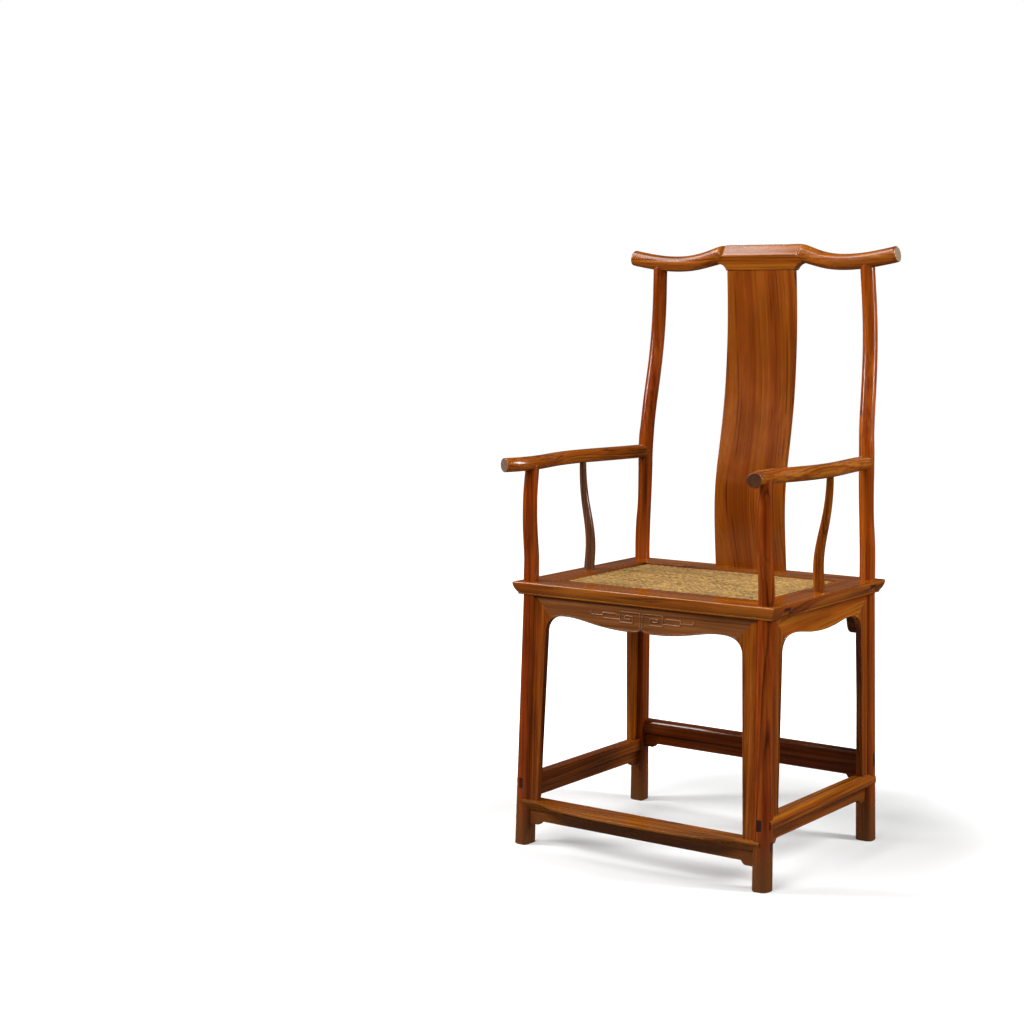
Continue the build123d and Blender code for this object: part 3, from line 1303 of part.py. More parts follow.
with BuildPart() as back_stretcher:
    add(stretcher_bar(
        BACK_STRETCHER_PLANE, 2 * leg_x(back_stretcher_z) + 2 * STRETCHER_LAP, BACK_STRETCHER_HEIGHT
    ))
    for side, flip in SIDES:
        add(on_side(rear_leg_blank, flip), mode=Mode.SUBTRACT)
        add(on_side(back_stretcher_tenon() & rear_leg_blank, flip))
finish(back_stretcher.part, "back_stretcher")
finish(back_stretcher_apron(), "back_stretcher_apron")
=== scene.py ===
"""Official's hat armchair: its wood, woven seat, carving and studio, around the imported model.

Metres. +Z is up, the chair faces -Y, and every piece rides on the one rigid body, "root".
"""

from math import cos, pi, radians, sin

import bmesh
import bpy
from bpy.props import FloatProperty, FloatVectorProperty, PointerProperty
from mathutils import Euler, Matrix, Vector


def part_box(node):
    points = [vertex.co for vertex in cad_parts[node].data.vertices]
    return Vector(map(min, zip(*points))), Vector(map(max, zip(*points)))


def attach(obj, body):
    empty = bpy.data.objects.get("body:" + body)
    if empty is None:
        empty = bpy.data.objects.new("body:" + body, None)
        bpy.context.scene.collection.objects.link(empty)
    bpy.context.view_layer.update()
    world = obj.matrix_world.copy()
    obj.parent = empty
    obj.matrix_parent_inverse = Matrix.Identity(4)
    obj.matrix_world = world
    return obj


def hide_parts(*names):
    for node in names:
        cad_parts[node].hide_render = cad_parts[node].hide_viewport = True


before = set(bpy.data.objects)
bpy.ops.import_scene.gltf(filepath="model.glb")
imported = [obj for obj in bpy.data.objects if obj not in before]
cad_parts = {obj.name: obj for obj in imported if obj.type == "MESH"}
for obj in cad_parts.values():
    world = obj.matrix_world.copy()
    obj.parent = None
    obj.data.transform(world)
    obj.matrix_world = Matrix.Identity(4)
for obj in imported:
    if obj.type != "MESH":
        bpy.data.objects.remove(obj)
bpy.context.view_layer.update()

bl_info = {
    "name": "Official's Hat Armchair",
    "version": (1, 0, 0),
    "blender": (4, 5, 0),
    "location": "3D View > Sidebar > Armchair",
    "description": "Wood, woven seat, carving and studio for a rigid hardwood armchair",
    "category": "Object",
}

BODY = "root"
SIDES = (("left", -1), ("right", 1))


# ---------------------------------------------------------------- settings
class WoodSettings(bpy.types.PropertyGroup):
    """Colours and figure of the polished hardwood."""

    pale: FloatVectorProperty(
        name="Pale Wood", description="Lightest early wood", subtype="COLOR",
        size=4, min=0.0, max=1.0, default=(0.430, 0.135, 0.0090, 1.0),
    )
    middle: FloatVectorProperty(
        name="Middle Wood", description="Body colour between the growth lines", subtype="COLOR",
        size=4, min=0.0, max=1.0, default=(0.245, 0.048, 0.0022, 1.0),
    )
    dark: FloatVectorProperty(
        name="Dark Wood", description="Dark late wood", subtype="COLOR",
        size=4, min=0.0, max=1.0, default=(0.100, 0.0130, 0.0005, 1.0),
    )
    line: FloatVectorProperty(
        name="Growth Line", description="Finest, nearly black growth lines", subtype="COLOR",
        size=4, min=0.0, max=1.0, default=(0.032, 0.0045, 0.0004, 1.0),
    )
    worn: FloatVectorProperty(
        name="Worn Foot", description="Bleached and dusty wood near the floor", subtype="COLOR",
        size=4, min=0.0, max=1.0, default=(0.150, 0.051, 0.0090, 1.0),
    )
    ring_width: FloatProperty(
        name="Growth Band", description="Average width of a growth band", subtype="DISTANCE",
        unit="LENGTH", min=0.001, max=0.1, default=0.014,
    )
    line_width: FloatProperty(
        name="Line Spacing", description="Average spacing of the fine growth lines",
        subtype="DISTANCE", unit="LENGTH", min=0.0002, max=0.02, default=0.0034,
    )
    roughness: FloatProperty(
        name="Polish", description="Roughness of the waxed surface", subtype="FACTOR",
        min=0.0, max=1.0, default=0.17,
    )
    # this radius also sets the band painted paler along the arrises, partly wear and partly a
    # painted highlight
    eased: FloatProperty(
        name="Eased Edge", description="Radius of the worn arrises", subtype="DISTANCE",
        unit="LENGTH", min=0.0, max=0.01, default=0.0012,
    )


class SeatSettings(bpy.types.PropertyGroup):
    """Woven cane mat and the palm cords below it."""

    strand_pitch: FloatProperty(
        name="Strand Pitch", description="Distance from one cane strand to the next",
        subtype="DISTANCE", unit="LENGTH", min=0.001, max=0.02, default=0.0040,
    )
    strand_thickness: FloatProperty(
        name="Strand Thickness", description="Thickness of a cane strand", subtype="DISTANCE",
        unit="LENGTH", min=0.0002, max=0.003, default=0.0009,
    )
    straw_pale: FloatVectorProperty(
        name="Pale Straw", description="Lightest cane", subtype="COLOR",
        size=4, min=0.0, max=1.0, default=(0.600, 0.345, 0.090, 1.0),
    )
    straw_dark: FloatVectorProperty(
        name="Dark Straw", description="Darkest cane", subtype="COLOR",
        size=4, min=0.0, max=1.0, default=(0.100, 0.042, 0.007, 1.0),
    )
    cord_pitch: FloatProperty(
        name="Cord Pitch", description="Distance between neighbouring palm cords",
        subtype="DISTANCE", unit="LENGTH", min=0.004, max=0.05, default=0.0090,
    )
    cord_width: FloatProperty(
        name="Cord Width", description="Width of a flattened palm cord", subtype="DISTANCE",
        unit="LENGTH", min=0.0005, max=0.010, default=0.0040,
    )


class CarvingSettings(bpy.types.PropertyGroup):
    """The raised lines of the scroll on the front apron."""

    line_radius: FloatProperty(
        name="Line Radius", description="Radius of the raised line", subtype="DISTANCE",
        unit="LENGTH", min=0.0002, max=0.01, default=0.00160,
    )
    corner_radius: FloatProperty(
        name="Corner Radius", description="Radius at the corners of the scroll", subtype="DISTANCE",
        unit="LENGTH", min=0.0, max=0.01, default=0.0026,
    )
    sunk: FloatProperty(
        name="Sunk", description="Depth of the line's middle behind the board's face",
        subtype="DISTANCE", unit="LENGTH", min=0.0, max=0.005, default=0.00020,
    )


class StudioSettings(bpy.types.PropertyGroup):
    """Camera, lamps and floor."""

    lens: FloatProperty(
        name="Lens", description="Focal length of the camera", subtype="DISTANCE_CAMERA",
        unit="CAMERA", min=10.0, max=300.0, default=69.166,
    )
    camera_place: FloatVectorProperty(
        name="Camera Place", description="Where the camera stands", subtype="TRANSLATION",
        unit="LENGTH", size=3, default=(1.99453, -3.27416, 1.09004),
    )
    camera_turn: FloatVectorProperty(
        name="Camera Turn", description="The camera's rotation", subtype="EULER",
        unit="ROTATION", size=3,
        default=(radians(83.5677), radians(0.2473), radians(36.7442)),
    )
    lamp_power: FloatProperty(
        name="Key Power", description="Power of the largest lamp", subtype="POWER",
        unit="POWER", min=0.0, max=500.0, default=42.0,
    )
    room_light: FloatProperty(
        name="Room Light", description="Strength of the light from the whole room",
        min=0.0, max=2.0, default=0.12,
    )
    floor_glow: FloatProperty(
        name="Floor White", description="Share of plain white in the floor around the chair",
        min=0.0, max=1.0, default=0.12,
    )
    floor_size: FloatProperty(
        name="Floor Size", description="Width of the floor", subtype="DISTANCE",
        unit="LENGTH", min=2.0, max=40.0, default=14.0,
    )


MM = 0.001

# the apron's face, by height: its place at the floor, and how far it leans back for each metre up
APRON_FOOT = -0.2185
APRON_LEAN = 0.019 / 0.498

# the scroll's right half, in millimetres from the chair's middle and up from the floor: a squared
# spiral that rises from the cusp, a hook beside it, and a tail that runs out along the board
SCROLL_PATHS = (
    ((2.4, 455.0), (2.4, 483.4), (48.0, 483.4), (48.0, 463.5), (19.0, 463.5), (19.0, 476.2),
     (37.5, 476.2), (37.5, 470.2), (24.0, 470.2)),
    ((48.0, 468.4), (87.0, 468.4), (87.0, 478.6), (56.0, 478.6), (53.0, 475.2)),
    ((87.0, 473.0), (113.0, 473.0), (117.0, 477.0), (114.0, 479.6)),
)


# ---------------------------------------------------------------- node trees
def put(tree, kind, inputs=None, **settings):
    """Adds a node, sets its settings, and sets or links its inputs."""
    made = tree.nodes.new(kind)
    for key, value in settings.items():
        setattr(made, key, value)
    for key, value in (inputs or {}).items():
        if isinstance(value, bpy.types.NodeSocket):
            tree.links.new(value, made.inputs[key])
        else:
            made.inputs[key].default_value = value
    return made


def maths(tree, operation, *values, clamp=False):
    """Result of a Math node."""
    made = put(
        tree, "ShaderNodeMath", dict(enumerate(values)), operation=operation, use_clamp=clamp,
    )
    return made.outputs[0]


def times(tree, *values, clamp=False):
    """Product of two values."""
    return maths(tree, "MULTIPLY", *values, clamp=clamp)


def plus(tree, *values):
    """Sum of two values."""
    return maths(tree, "ADD", *values)


def minus(tree, *values):
    """Difference of two values."""
    return maths(tree, "SUBTRACT", *values)


def scaled(tree, vector, factor):
    """A vector or colour times a value."""
    made = put(tree, "ShaderNodeVectorMath", {0: vector, "Scale": factor}, operation="SCALE")
    return made.outputs["Vector"]


def vectors(tree, operation, *values):
    """Result of a Vector Math node."""
    made = put(tree, "ShaderNodeVectorMath", dict(enumerate(values)), operation=operation)
    return made.outputs["Value" if operation in ("DOT_PRODUCT", "LENGTH") else "Vector"]


def fade(tree, value, low, high, out_low=0.0, out_high=1.0):
    """A smooth step of a value between two limits."""
    made = put(
        tree, "ShaderNodeMapRange",
        {"Value": value, "From Min": low, "From Max": high, "To Min": out_low, "To Max": out_high},
        interpolation_type="SMOOTHSTEP",
    )
    return made.outputs["Result"]


def mix_colour(tree, share, first, second, blend="MIX"):
    """A mix of two colours."""
    made = put(
        tree, "ShaderNodeMix", {0: share, 6: first, 7: second},
        data_type="RGBA", blend_type=blend,
    )
    return made.outputs[2]


def speckle(tree, vector, scale, detail=2.0, rough=0.5):
    """Value of a three-dimensional noise."""
    made = put(
        tree, "ShaderNodeTexNoise",
        {"Vector": vector, "Scale": scale, "Detail": detail, "Roughness": rough},
    )
    return made.outputs[0]


def banding(tree, place, detail=2.0, rough=0.5):
    """Value of a noise along one line."""
    made = put(
        tree, "ShaderNodeTexNoise",
        {"W": place, "Scale": 1.0, "Detail": detail, "Roughness": rough},
        noise_dimensions="1D",
    )
    return made.outputs[0]


def along_grain(tree, vector, scales, detail=2.0, rough=0.5):
    """Value of a noise with one scale along the grain, which is X, and another across it."""
    return speckle(tree, stretched(tree, vector, scales), 1.0, detail, rough)


def stretched(tree, vector, scales):
    """A vector scaled along and across the grain."""
    along, across = scales
    return vectors(tree, "MULTIPLY", vector, (along, across, across))


def new_group(name, kind, sockets):
    """An empty node group with its named inputs and outputs."""
    group = bpy.data.node_groups.new(name, kind)
    for label, direction, socket_type, default in sockets:
        socket = group.interface.new_socket(name=label, in_out=direction, socket_type=socket_type)
        if default is not None:
            socket.default_value = default
    return group


def new_material(name):
    """A material, its tree and its shader."""
    material = bpy.data.materials.new(name)
    material.use_nodes = True
    return material, material.node_tree, material.node_tree.nodes["Principled BSDF"]


def connect(tree, shader, colour, rough, bump):
    """Gives a shader its colour, roughness and relief."""
    tree.links.new(colour, shader.inputs["Base Color"])
    tree.links.new(rough, shader.inputs["Roughness"])
    tree.links.new(bump.outputs[0], shader.inputs["Normal"])


# ---------------------------------------------------------------- wood
WOOD_GROUP = "Rosewood Figure"
TAPER = 0.02        # how much a ring widens for each metre along the grain
WANDER = 0.010      # how far it strays

# scales of the figure's noises along and across the grain, in periods to the metre
SWIRL = (2.6, 11.0)
STREAKS = (3.0, 210.0)
FIBRES = (22.0, 1300.0)
MOTTLE = (7.0, 16.0)
PORES = (120.0, 2400.0)
LINE_GAPS = (5.0, 60.0)
DUST = (14.0, 40.0)
WEAR_AND_SHEEN_PATCHES = 26.0
END_DOTS = 900.0

# limits between which each noise fades in
BAND_LIMITS = (0.33, 0.68)
LINE_LIMITS = (0.50, 0.70)
STREAK_LIMITS = (0.36, 0.66)
MOTTLE_LIMITS = (0.3, 0.7)
PORE_LIMITS = (0.64, 0.74)
GAP_LIMITS = (0.38, 0.60)
WEAR_AND_SHEEN_LIMITS = (0.30, 0.62)
END_GRAIN_COSINES = (0.86, 0.97)    # between a surface's normal and the grain

# how strongly each part of the figure shows
BAND_SHARE = 0.60
STREAK_SHARE = 0.60
LINE_SHARE = 0.62
PORE_SHARE = 0.45
MOTTLE_SHARE = 0.24
FIBRE_SHARE = 0.30
WORN_SHARE = 0.90

# what it adds to the roughness
PORE_ROUGHNESS = 0.15
MOTTLE_ROUGHNESS = 0.06
DRY_ROUGHNESS = 0.20

# the worn foot fades out between these heights, which the dust shifts by up to DUST_SHIFT
WORN_FROM, WORN_TO = -0.050, 0.100
DUST_SHIFT = -0.10


def wood_group(wood):
    """Growth bands, fine lines, pores and handling of oiled rosewood, with the grain along X; its
    arrises are painted paler, partly as wear and partly as a painted highlight.
    """
    if WOOD_GROUP in bpy.data.node_groups:
        return bpy.data.node_groups[WOOD_GROUP]
    group = new_group(WOOD_GROUP, "ShaderNodeTree", (
        ("Grain Place", "INPUT", "NodeSocketVector", None),
        ("Grain Normal", "INPUT", "NodeSocketVector", None),
        ("Height", "INPUT", "NodeSocketFloat", 0.0),
        ("Edge", "INPUT", "NodeSocketFloat", 0.0),
        ("Band Width", "INPUT", "NodeSocketFloat", wood.ring_width),
        ("Line Spacing", "INPUT", "NodeSocketFloat", wood.line_width),
        ("Taper", "INPUT", "NodeSocketFloat", TAPER),
        ("Wander", "INPUT", "NodeSocketFloat", WANDER),
        ("Contrast", "INPUT", "NodeSocketFloat", 1.0),
        ("Streaks", "INPUT", "NodeSocketFloat", 1.0),
        ("Pale", "INPUT", "NodeSocketColor", tuple(wood.pale)),
        ("Middle", "INPUT", "NodeSocketColor", tuple(wood.middle)),
        ("Dark", "INPUT", "NodeSocketColor", tuple(wood.dark)),
        ("Line", "INPUT", "NodeSocketColor", tuple(wood.line)),
        ("End", "INPUT", "NodeSocketColor", tuple(wood.line)),
        ("Worn", "INPUT", "NodeSocketColor", tuple(wood.worn)),
        ("Polish", "INPUT", "NodeSocketFloat", wood.roughness),
        ("Colour", "OUTPUT", "NodeSocketColor", None),
        ("Roughness", "OUTPUT", "NodeSocketFloat", None),
        ("Relief", "OUTPUT", "NodeSocketFloat", None),
    ))
    given = put(group, "NodeGroupInput").outputs
    place = given["Grain Place"]

    # the growth rings wander along the grain
    swirl = put(group, "ShaderNodeTexNoise", {
        "Vector": stretched(group, place, SWIRL), "Scale": 1.0, "Detail": 2.0,
    }).outputs["Color"]
    drift = scaled(group, vectors(group, "SUBTRACT", swirl, (0.5, 0.5, 0.5)), given["Wander"])
    wandered = vectors(group, "ADD", place, drift)
    parts = put(group, "ShaderNodeSeparateXYZ", {0: wandered}).outputs
    from_pith = maths(group, "SQRT", plus(
        group, maths(group, "POWER", parts[1], 2.0), maths(group, "POWER", parts[2], 2.0),
    ))
    ring = plus(group, from_pith, times(group, parts[0], given["Taper"]))

    # broad bands, fine lines between them, and streaks that run on through both
    band_place = maths(group, "DIVIDE", ring, given["Band Width"])
    bands = fade(group, banding(group, band_place, 2.0, 0.6), *BAND_LIMITS)
    line_place = maths(group, "DIVIDE", ring, given["Line Spacing"])
    fine_lines = fade(group, banding(group, line_place, 3.0, 0.65), *LINE_LIMITS)
    streak = fade(group, along_grain(group, wandered, STREAKS, 3.0, 0.6), *STREAK_LIMITS)
    fibre = along_grain(group, wandered, FIBRES, 2.0, 0.6)
    mottle = fade(group, along_grain(group, place, MOTTLE), *MOTTLE_LIMITS)
    pores = fade(group, along_grain(group, wandered, PORES, 1.0), *PORE_LIMITS)
    gaps = fade(group, along_grain(group, place, LINE_GAPS, 1.0), *GAP_LIMITS)

    colour = mix_colour(group, times(group, bands, BAND_SHARE), given["Middle"], given["Pale"])
    streak_share = times(group, given["Streaks"], STREAK_SHARE)
    streak_share = times(group, streak, streak_share, clamp=True)
    colour = mix_colour(group, streak_share, colour, given["Dark"])
    line_share = times(group, given["Contrast"], LINE_SHARE)
    line_share = times(group, times(group, fine_lines, gaps), line_share, clamp=True)
    colour = mix_colour(group, line_share, colour, given["Line"])
    colour = mix_colour(group, times(group, pores, PORE_SHARE), colour, given["Line"])
    shade = plus(group, times(group, mottle, MOTTLE_SHARE), 1.0 - MOTTLE_SHARE / 2)
    shade = plus(group, shade, times(group, minus(group, fibre, 0.5), FIBRE_SHARE))
    colour = scaled(group, colour, shade)

    # arrises are painted paler in patches: partly rubbed wear, partly a painted highlight along the
    # edge
    wear_and_sheen = speckle(group, place, WEAR_AND_SHEEN_PATCHES, 3.0, 0.6)
    wear_and_sheen = fade(group, wear_and_sheen, *WEAR_AND_SHEEN_LIMITS, 0.25, 0.75)
    colour = mix_colour(group, times(group, given["Edge"], wear_and_sheen), colour, given["Pale"])

    # cut ends drink more oil, or dry out
    across = put(group, "ShaderNodeSeparateXYZ", {0: given["Grain Normal"]}).outputs[0]
    end_grain = fade(group, maths(group, "ABSOLUTE", across), *END_GRAIN_COSINES)
    end_dots = fade(group, speckle(group, place, END_DOTS, 1.0), 0.35, 0.65, 0.75, 1.25)
    colour = mix_colour(group, end_grain, colour, scaled(group, given["End"], end_dots))

    # mopped and dusty towards the floor
    dust = times(group, along_grain(group, place, DUST, 3.0, 0.6), DUST_SHIFT)
    worn = fade(group, plus(group, given["Height"], dust), WORN_FROM, WORN_TO, WORN_SHARE, 0.0)
    colour = mix_colour(group, worn, colour, given["Worn"])

    rough = plus(group, given["Polish"], times(group, pores, PORE_ROUGHNESS))
    rough = plus(group, rough, times(group, minus(group, mottle, 0.5), MOTTLE_ROUGHNESS))
    dry = maths(group, "MAXIMUM", worn, end_grain)
    rough = plus(group, rough, times(group, dry, DRY_ROUGHNESS))
    relief = minus(group, times(group, fibre, 0.5), pores)
    relief = minus(group, relief, times(group, fine_lines, 0.3))
    put(group, "NodeGroupOutput", {"Colour": colour, "Roughness": rough, "Relief": relief})
    return group


GRAIN_TURNS = {
    "X": (0.0, 0.0, 0.0),
    "Y": (0.0, 0.0, -pi / 2),
    "Z": (0.0, pi / 2, 0.0),
}


# a board's tones are scaled by its light factor, partly its own tone and partly painted light and
# shade on that piece, and a darker one is made redder too: how fast red, green and blue fall off
DEEPENING = (1.0, 1.5, 1.6)

# other boards than the usual one, each as its pale, middle and dark wood
LEG_TONES = ((0.430, 0.098, 0.0060), (0.245, 0.035, 0.0015), (0.100, 0.0100, 0.0004))
GREY_POST_TONES = ((0.210, 0.095, 0.0480), (0.130, 0.049, 0.0210), (0.055, 0.0180, 0.0080))
APRON_TONES = ((0.290, 0.106, 0.0300), (0.185, 0.058, 0.0150), (0.080, 0.0200, 0.0050))
# the scroll's lines are paler than the board they are carved from: a painted highlight on the
# raised lines
SCROLL_HIGHLIGHT_TONES = ((0.400, 0.190, 0.0900), (0.300, 0.125, 0.0500), (0.150, 0.0500, 0.0180))

# cut ends: the crest rail's, and the armrests', of which the left one is lighter and greyer
CREST_END = (0.270, 0.185, 0.115, 1.0)
ARM_ENDS = {"left": (0.125, 0.115, 0.102, 1.0), "right": (0.036, 0.027, 0.020, 1.0)}

# the wax on all the wood
WAX = {
    "Specular IOR Level": 0.50,
    "Coat Weight": 0.10,
    "Coat Roughness": 0.10,
    "Coat IOR": 1.50,
}
# an arris is painted paler where its eased normal leaves the true one, partly as rubbed wear and
# partly as a painted highlight: cosines of full and of no paling
WEAR_AND_SHEEN_FROM, WEAR_AND_SHEEN_TO = 0.80, 0.99
RELIEF_STRENGTH = 0.20
RELIEF_DEPTH = 0.0002


def wood_material(name, nodes, grain, pith, start=0.0, taper=TAPER, wander=WANDER, contrast=1.0,
                  band=1.0, spacing=1.0, streaks=1.0, light=1.0, tones=None, end=None,
                  carved=False):
    """Oiled rosewood whose grain runs along an axis, laid out round the first of some nodes.

    pith is where the tree's heart lies from that node's middle, in metres across the grain, and
    start shifts the figure along it. light scales the tones, partly for the board's own colour and
    partly as painted light and shade on the piece. carved is for a piece whose arrises are already
    soft in its shape.
    """
    wood = bpy.context.scene.armchair_wood
    low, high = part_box(nodes[0])
    middle = (low + high) / 2
    middle.rotate(Euler(GRAIN_TURNS[grain]))
    shift = Vector((start, -pith[0], -pith[1])) - middle
    material, tree, shader = new_material(name)
    coordinates = put(tree, "ShaderNodeTexCoord").outputs
    place = put(tree, "ShaderNodeMapping", {
        "Vector": coordinates["Object"], "Location": shift, "Rotation": GRAIN_TURNS[grain],
    }).outputs[0]
    normal = put(tree, "ShaderNodeMapping", {
        "Vector": coordinates["Normal"], "Rotation": GRAIN_TURNS[grain],
    }, vector_type="NORMAL").outputs[0]
    height = put(tree, "ShaderNodeSeparateXYZ", {0: coordinates["Object"]}).outputs[2]
    eased = put(tree, "ShaderNodeBevel", {"Radius": wood.eased}, samples=4).outputs[0]
    true = put(tree, "ShaderNodeNewGeometry").outputs["Normal"]
    # the eased normal rounds the arrises in the shading, and where it leaves the true normal the
    # arris is painted paler: partly wear, partly a painted highlight
    edge = fade(tree, vectors(tree, "DOT_PRODUCT", eased, true), WEAR_AND_SHEEN_FROM, WEAR_AND_SHEEN_TO, 1.0, 0.0)
    pale, mid, dark = [
        [channel * light ** power for channel, power in zip(colour[:3], DEEPENING)] + [1.0]
        for colour in tones or (wood.pale, wood.middle, wood.dark)
    ]
    figure = put(tree, "ShaderNodeGroup", node_tree=wood_group(wood))
    for label, value in {
        "Grain Place": place, "Grain Normal": normal, "Height": height, "Edge": edge,
        "Taper": taper, "Wander": wander, "Contrast": contrast, "Streaks": streaks,
        "Band Width": wood.ring_width * band, "Line Spacing": wood.line_width * spacing,
        "Polish": wood.roughness, "Pale": pale, "Middle": mid, "Dark": dark,
        "Line": wood.line, "End": end or wood.line, "Worn": wood.worn,
    }.items():
        if isinstance(value, bpy.types.NodeSocket):
            tree.links.new(value, figure.inputs[label])
        else:
            figure.inputs[label].default_value = value
    bump = put(tree, "ShaderNodeBump", {
        "Height": figure.outputs["Relief"], "Strength": RELIEF_STRENGTH, "Distance": RELIEF_DEPTH,
    })
    if not carved:
        tree.links.new(eased, bump.inputs["Normal"])
    connect(tree, shader, figure.outputs["Colour"], figure.outputs["Roughness"], bump)
    for label, value in WAX.items():
        shader.inputs[label].default_value = value
    return material


def finish(nodes, grain, pith, **looks):
    """Gives CAD nodes one wood."""
    material = wood_material("wood_" + nodes[0], nodes, grain, pith, **looks)
    for name in nodes:
        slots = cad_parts[name].data.materials
        slots.clear()
        slots.append(material)


# ---------------------------------------------------------------- pieces
def to_plain_mesh(carrier, name):
    """Turns an object with a Geometry Nodes modifier into a plain mesh object."""
    graph = bpy.context.evaluated_depsgraph_get()
    mesh = bpy.data.meshes.new_from_object(carrier.evaluated_get(graph), depsgraph=graph)
    bpy.data.objects.remove(carrier)
    mesh.name = name
    piece = bpy.data.objects.new(name, mesh)
    bpy.context.scene.collection.objects.link(piece)
    return piece


def grow(name, group, values, mesh=None):
    """Runs a Geometry Nodes tree with named input values, and returns its result as a piece."""
    mesh = mesh or bpy.data.meshes.new(name + "_carrier")
    carrier = bpy.data.objects.new(name + "_carrier", mesh)
    bpy.context.scene.collection.objects.link(carrier)
    modifier = carrier.modifiers.new(group.name, "NODES")
    modifier.node_group = group
    for item in group.interface.items_tree:
        if item.item_type == "SOCKET" and item.in_out == "INPUT" and item.name in values:
            modifier[item.identifier] = values[item.name]
    return to_plain_mesh(carrier, name)


SKIN_STEP = 0.0012      # mesh size of a carved skin
SKIN_ROUNDS = 14        # how often it is smoothed
JOIN_DISTANCE = 1.0e-6


def softened(node, name, voxel, rounds):
    """A copy of a CAD node with its arrises carved soft, as one even skin."""
    shell = bmesh.new()
    shell.from_mesh(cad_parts[node].data)
    bmesh.ops.remove_doubles(shell, verts=shell.verts, dist=JOIN_DISTANCE)
    mesh = bpy.data.meshes.new(name + "_rough")
    shell.to_mesh(mesh)
    shell.free()
    carrier = bpy.data.objects.new(name + "_rough", mesh)
    bpy.context.scene.collection.objects.link(carrier)
    skin = carrier.modifiers.new("even_skin", "REMESH")
    skin.mode = "VOXEL"
    skin.voxel_size = voxel
    skin.use_smooth_shade = True
    soft = carrier.modifiers.new("soft_arrises", "SMOOTH")
    soft.factor = 0.5
    soft.iterations = rounds
    return to_plain_mesh(carrier, name)


def closed_tree(group, mesh, material):
    """Ends a modelling tree: smooth shading, real geometry and its material."""
    for kind, values in (
        ("GeometryNodeSetShadeSmooth", {"Shade Smooth": True}),
        ("GeometryNodeRealizeInstances", {}),
        ("GeometryNodeSetMaterial", {"Material": material}),
    ):
        mesh = put(group, kind, {0: mesh, **values}).outputs[0]
    put(group, "NodeGroupOutput", {"Geometry": mesh})
    return group


CARVED_GROUP = "Carved Line"
CARVED_STEP = 0.0006        # between the points of a carved line
CORNER_POINTS = 5
TAPERED_SHARE = 0.03        # of its length, at each end


def carved_group():
    """A raised round line along the edges of a mesh of paths, thinned out at its ends."""
    if CARVED_GROUP in bpy.data.node_groups:
        return bpy.data.node_groups[CARVED_GROUP]
    group = new_group(CARVED_GROUP, "GeometryNodeTree", (
        ("Geometry", "INPUT", "NodeSocketGeometry", None),
        ("Line Radius", "INPUT", "NodeSocketFloat", 0.001),
        ("Corner Radius", "INPUT", "NodeSocketFloat", 0.002),
        ("End Share", "INPUT", "NodeSocketFloat", 0.45),
        ("Sides", "INPUT", "NodeSocketInt", 12),
        ("Material", "INPUT", "NodeSocketMaterial", None),
        ("Geometry", "OUTPUT", "NodeSocketGeometry", None),
    ))
    given = put(group, "NodeGroupInput").outputs
    paths = put(group, "GeometryNodeMeshToCurve", {"Mesh": given["Geometry"]}).outputs[0]
    paths = put(group, "GeometryNodeFilletCurve", {
        "Curve": paths, "Radius": given["Corner Radius"], "Limit Radius": True,
        "Count": CORNER_POINTS,
    }, mode="POLY").outputs[0]
    paths = put(group, "GeometryNodeResampleCurve", {
        "Curve": paths, "Length": CARVED_STEP,
    }, mode="LENGTH").outputs[0]
    along = put(group, "GeometryNodeSplineParameter").outputs["Factor"]
    from_end = maths(group, "MINIMUM", along, minus(group, 1.0, along))
    radius = put(group, "ShaderNodeMapRange", {
        "Value": from_end, "From Min": 0.0, "From Max": TAPERED_SHARE,
        "To Min": given["End Share"], "To Max": 1.0,
    }, interpolation_type="SMOOTHSTEP").outputs["Result"]
    paths = put(group, "GeometryNodeSetCurveRadius", {"Curve": paths, "Radius": radius}).outputs[0]
    section = put(group, "GeometryNodeCurvePrimitiveCircle", {
        "Resolution": given["Sides"], "Radius": given["Line Radius"],
    }).outputs["Curve"]
    mesh = put(group, "GeometryNodeCurveToMesh", {
        "Curve": paths, "Profile Curve": section, "Fill Caps": True,
    }).outputs[0]
    return closed_tree(group, mesh, given["Material"])


WEAVE_GROUP = "Woven Strands"


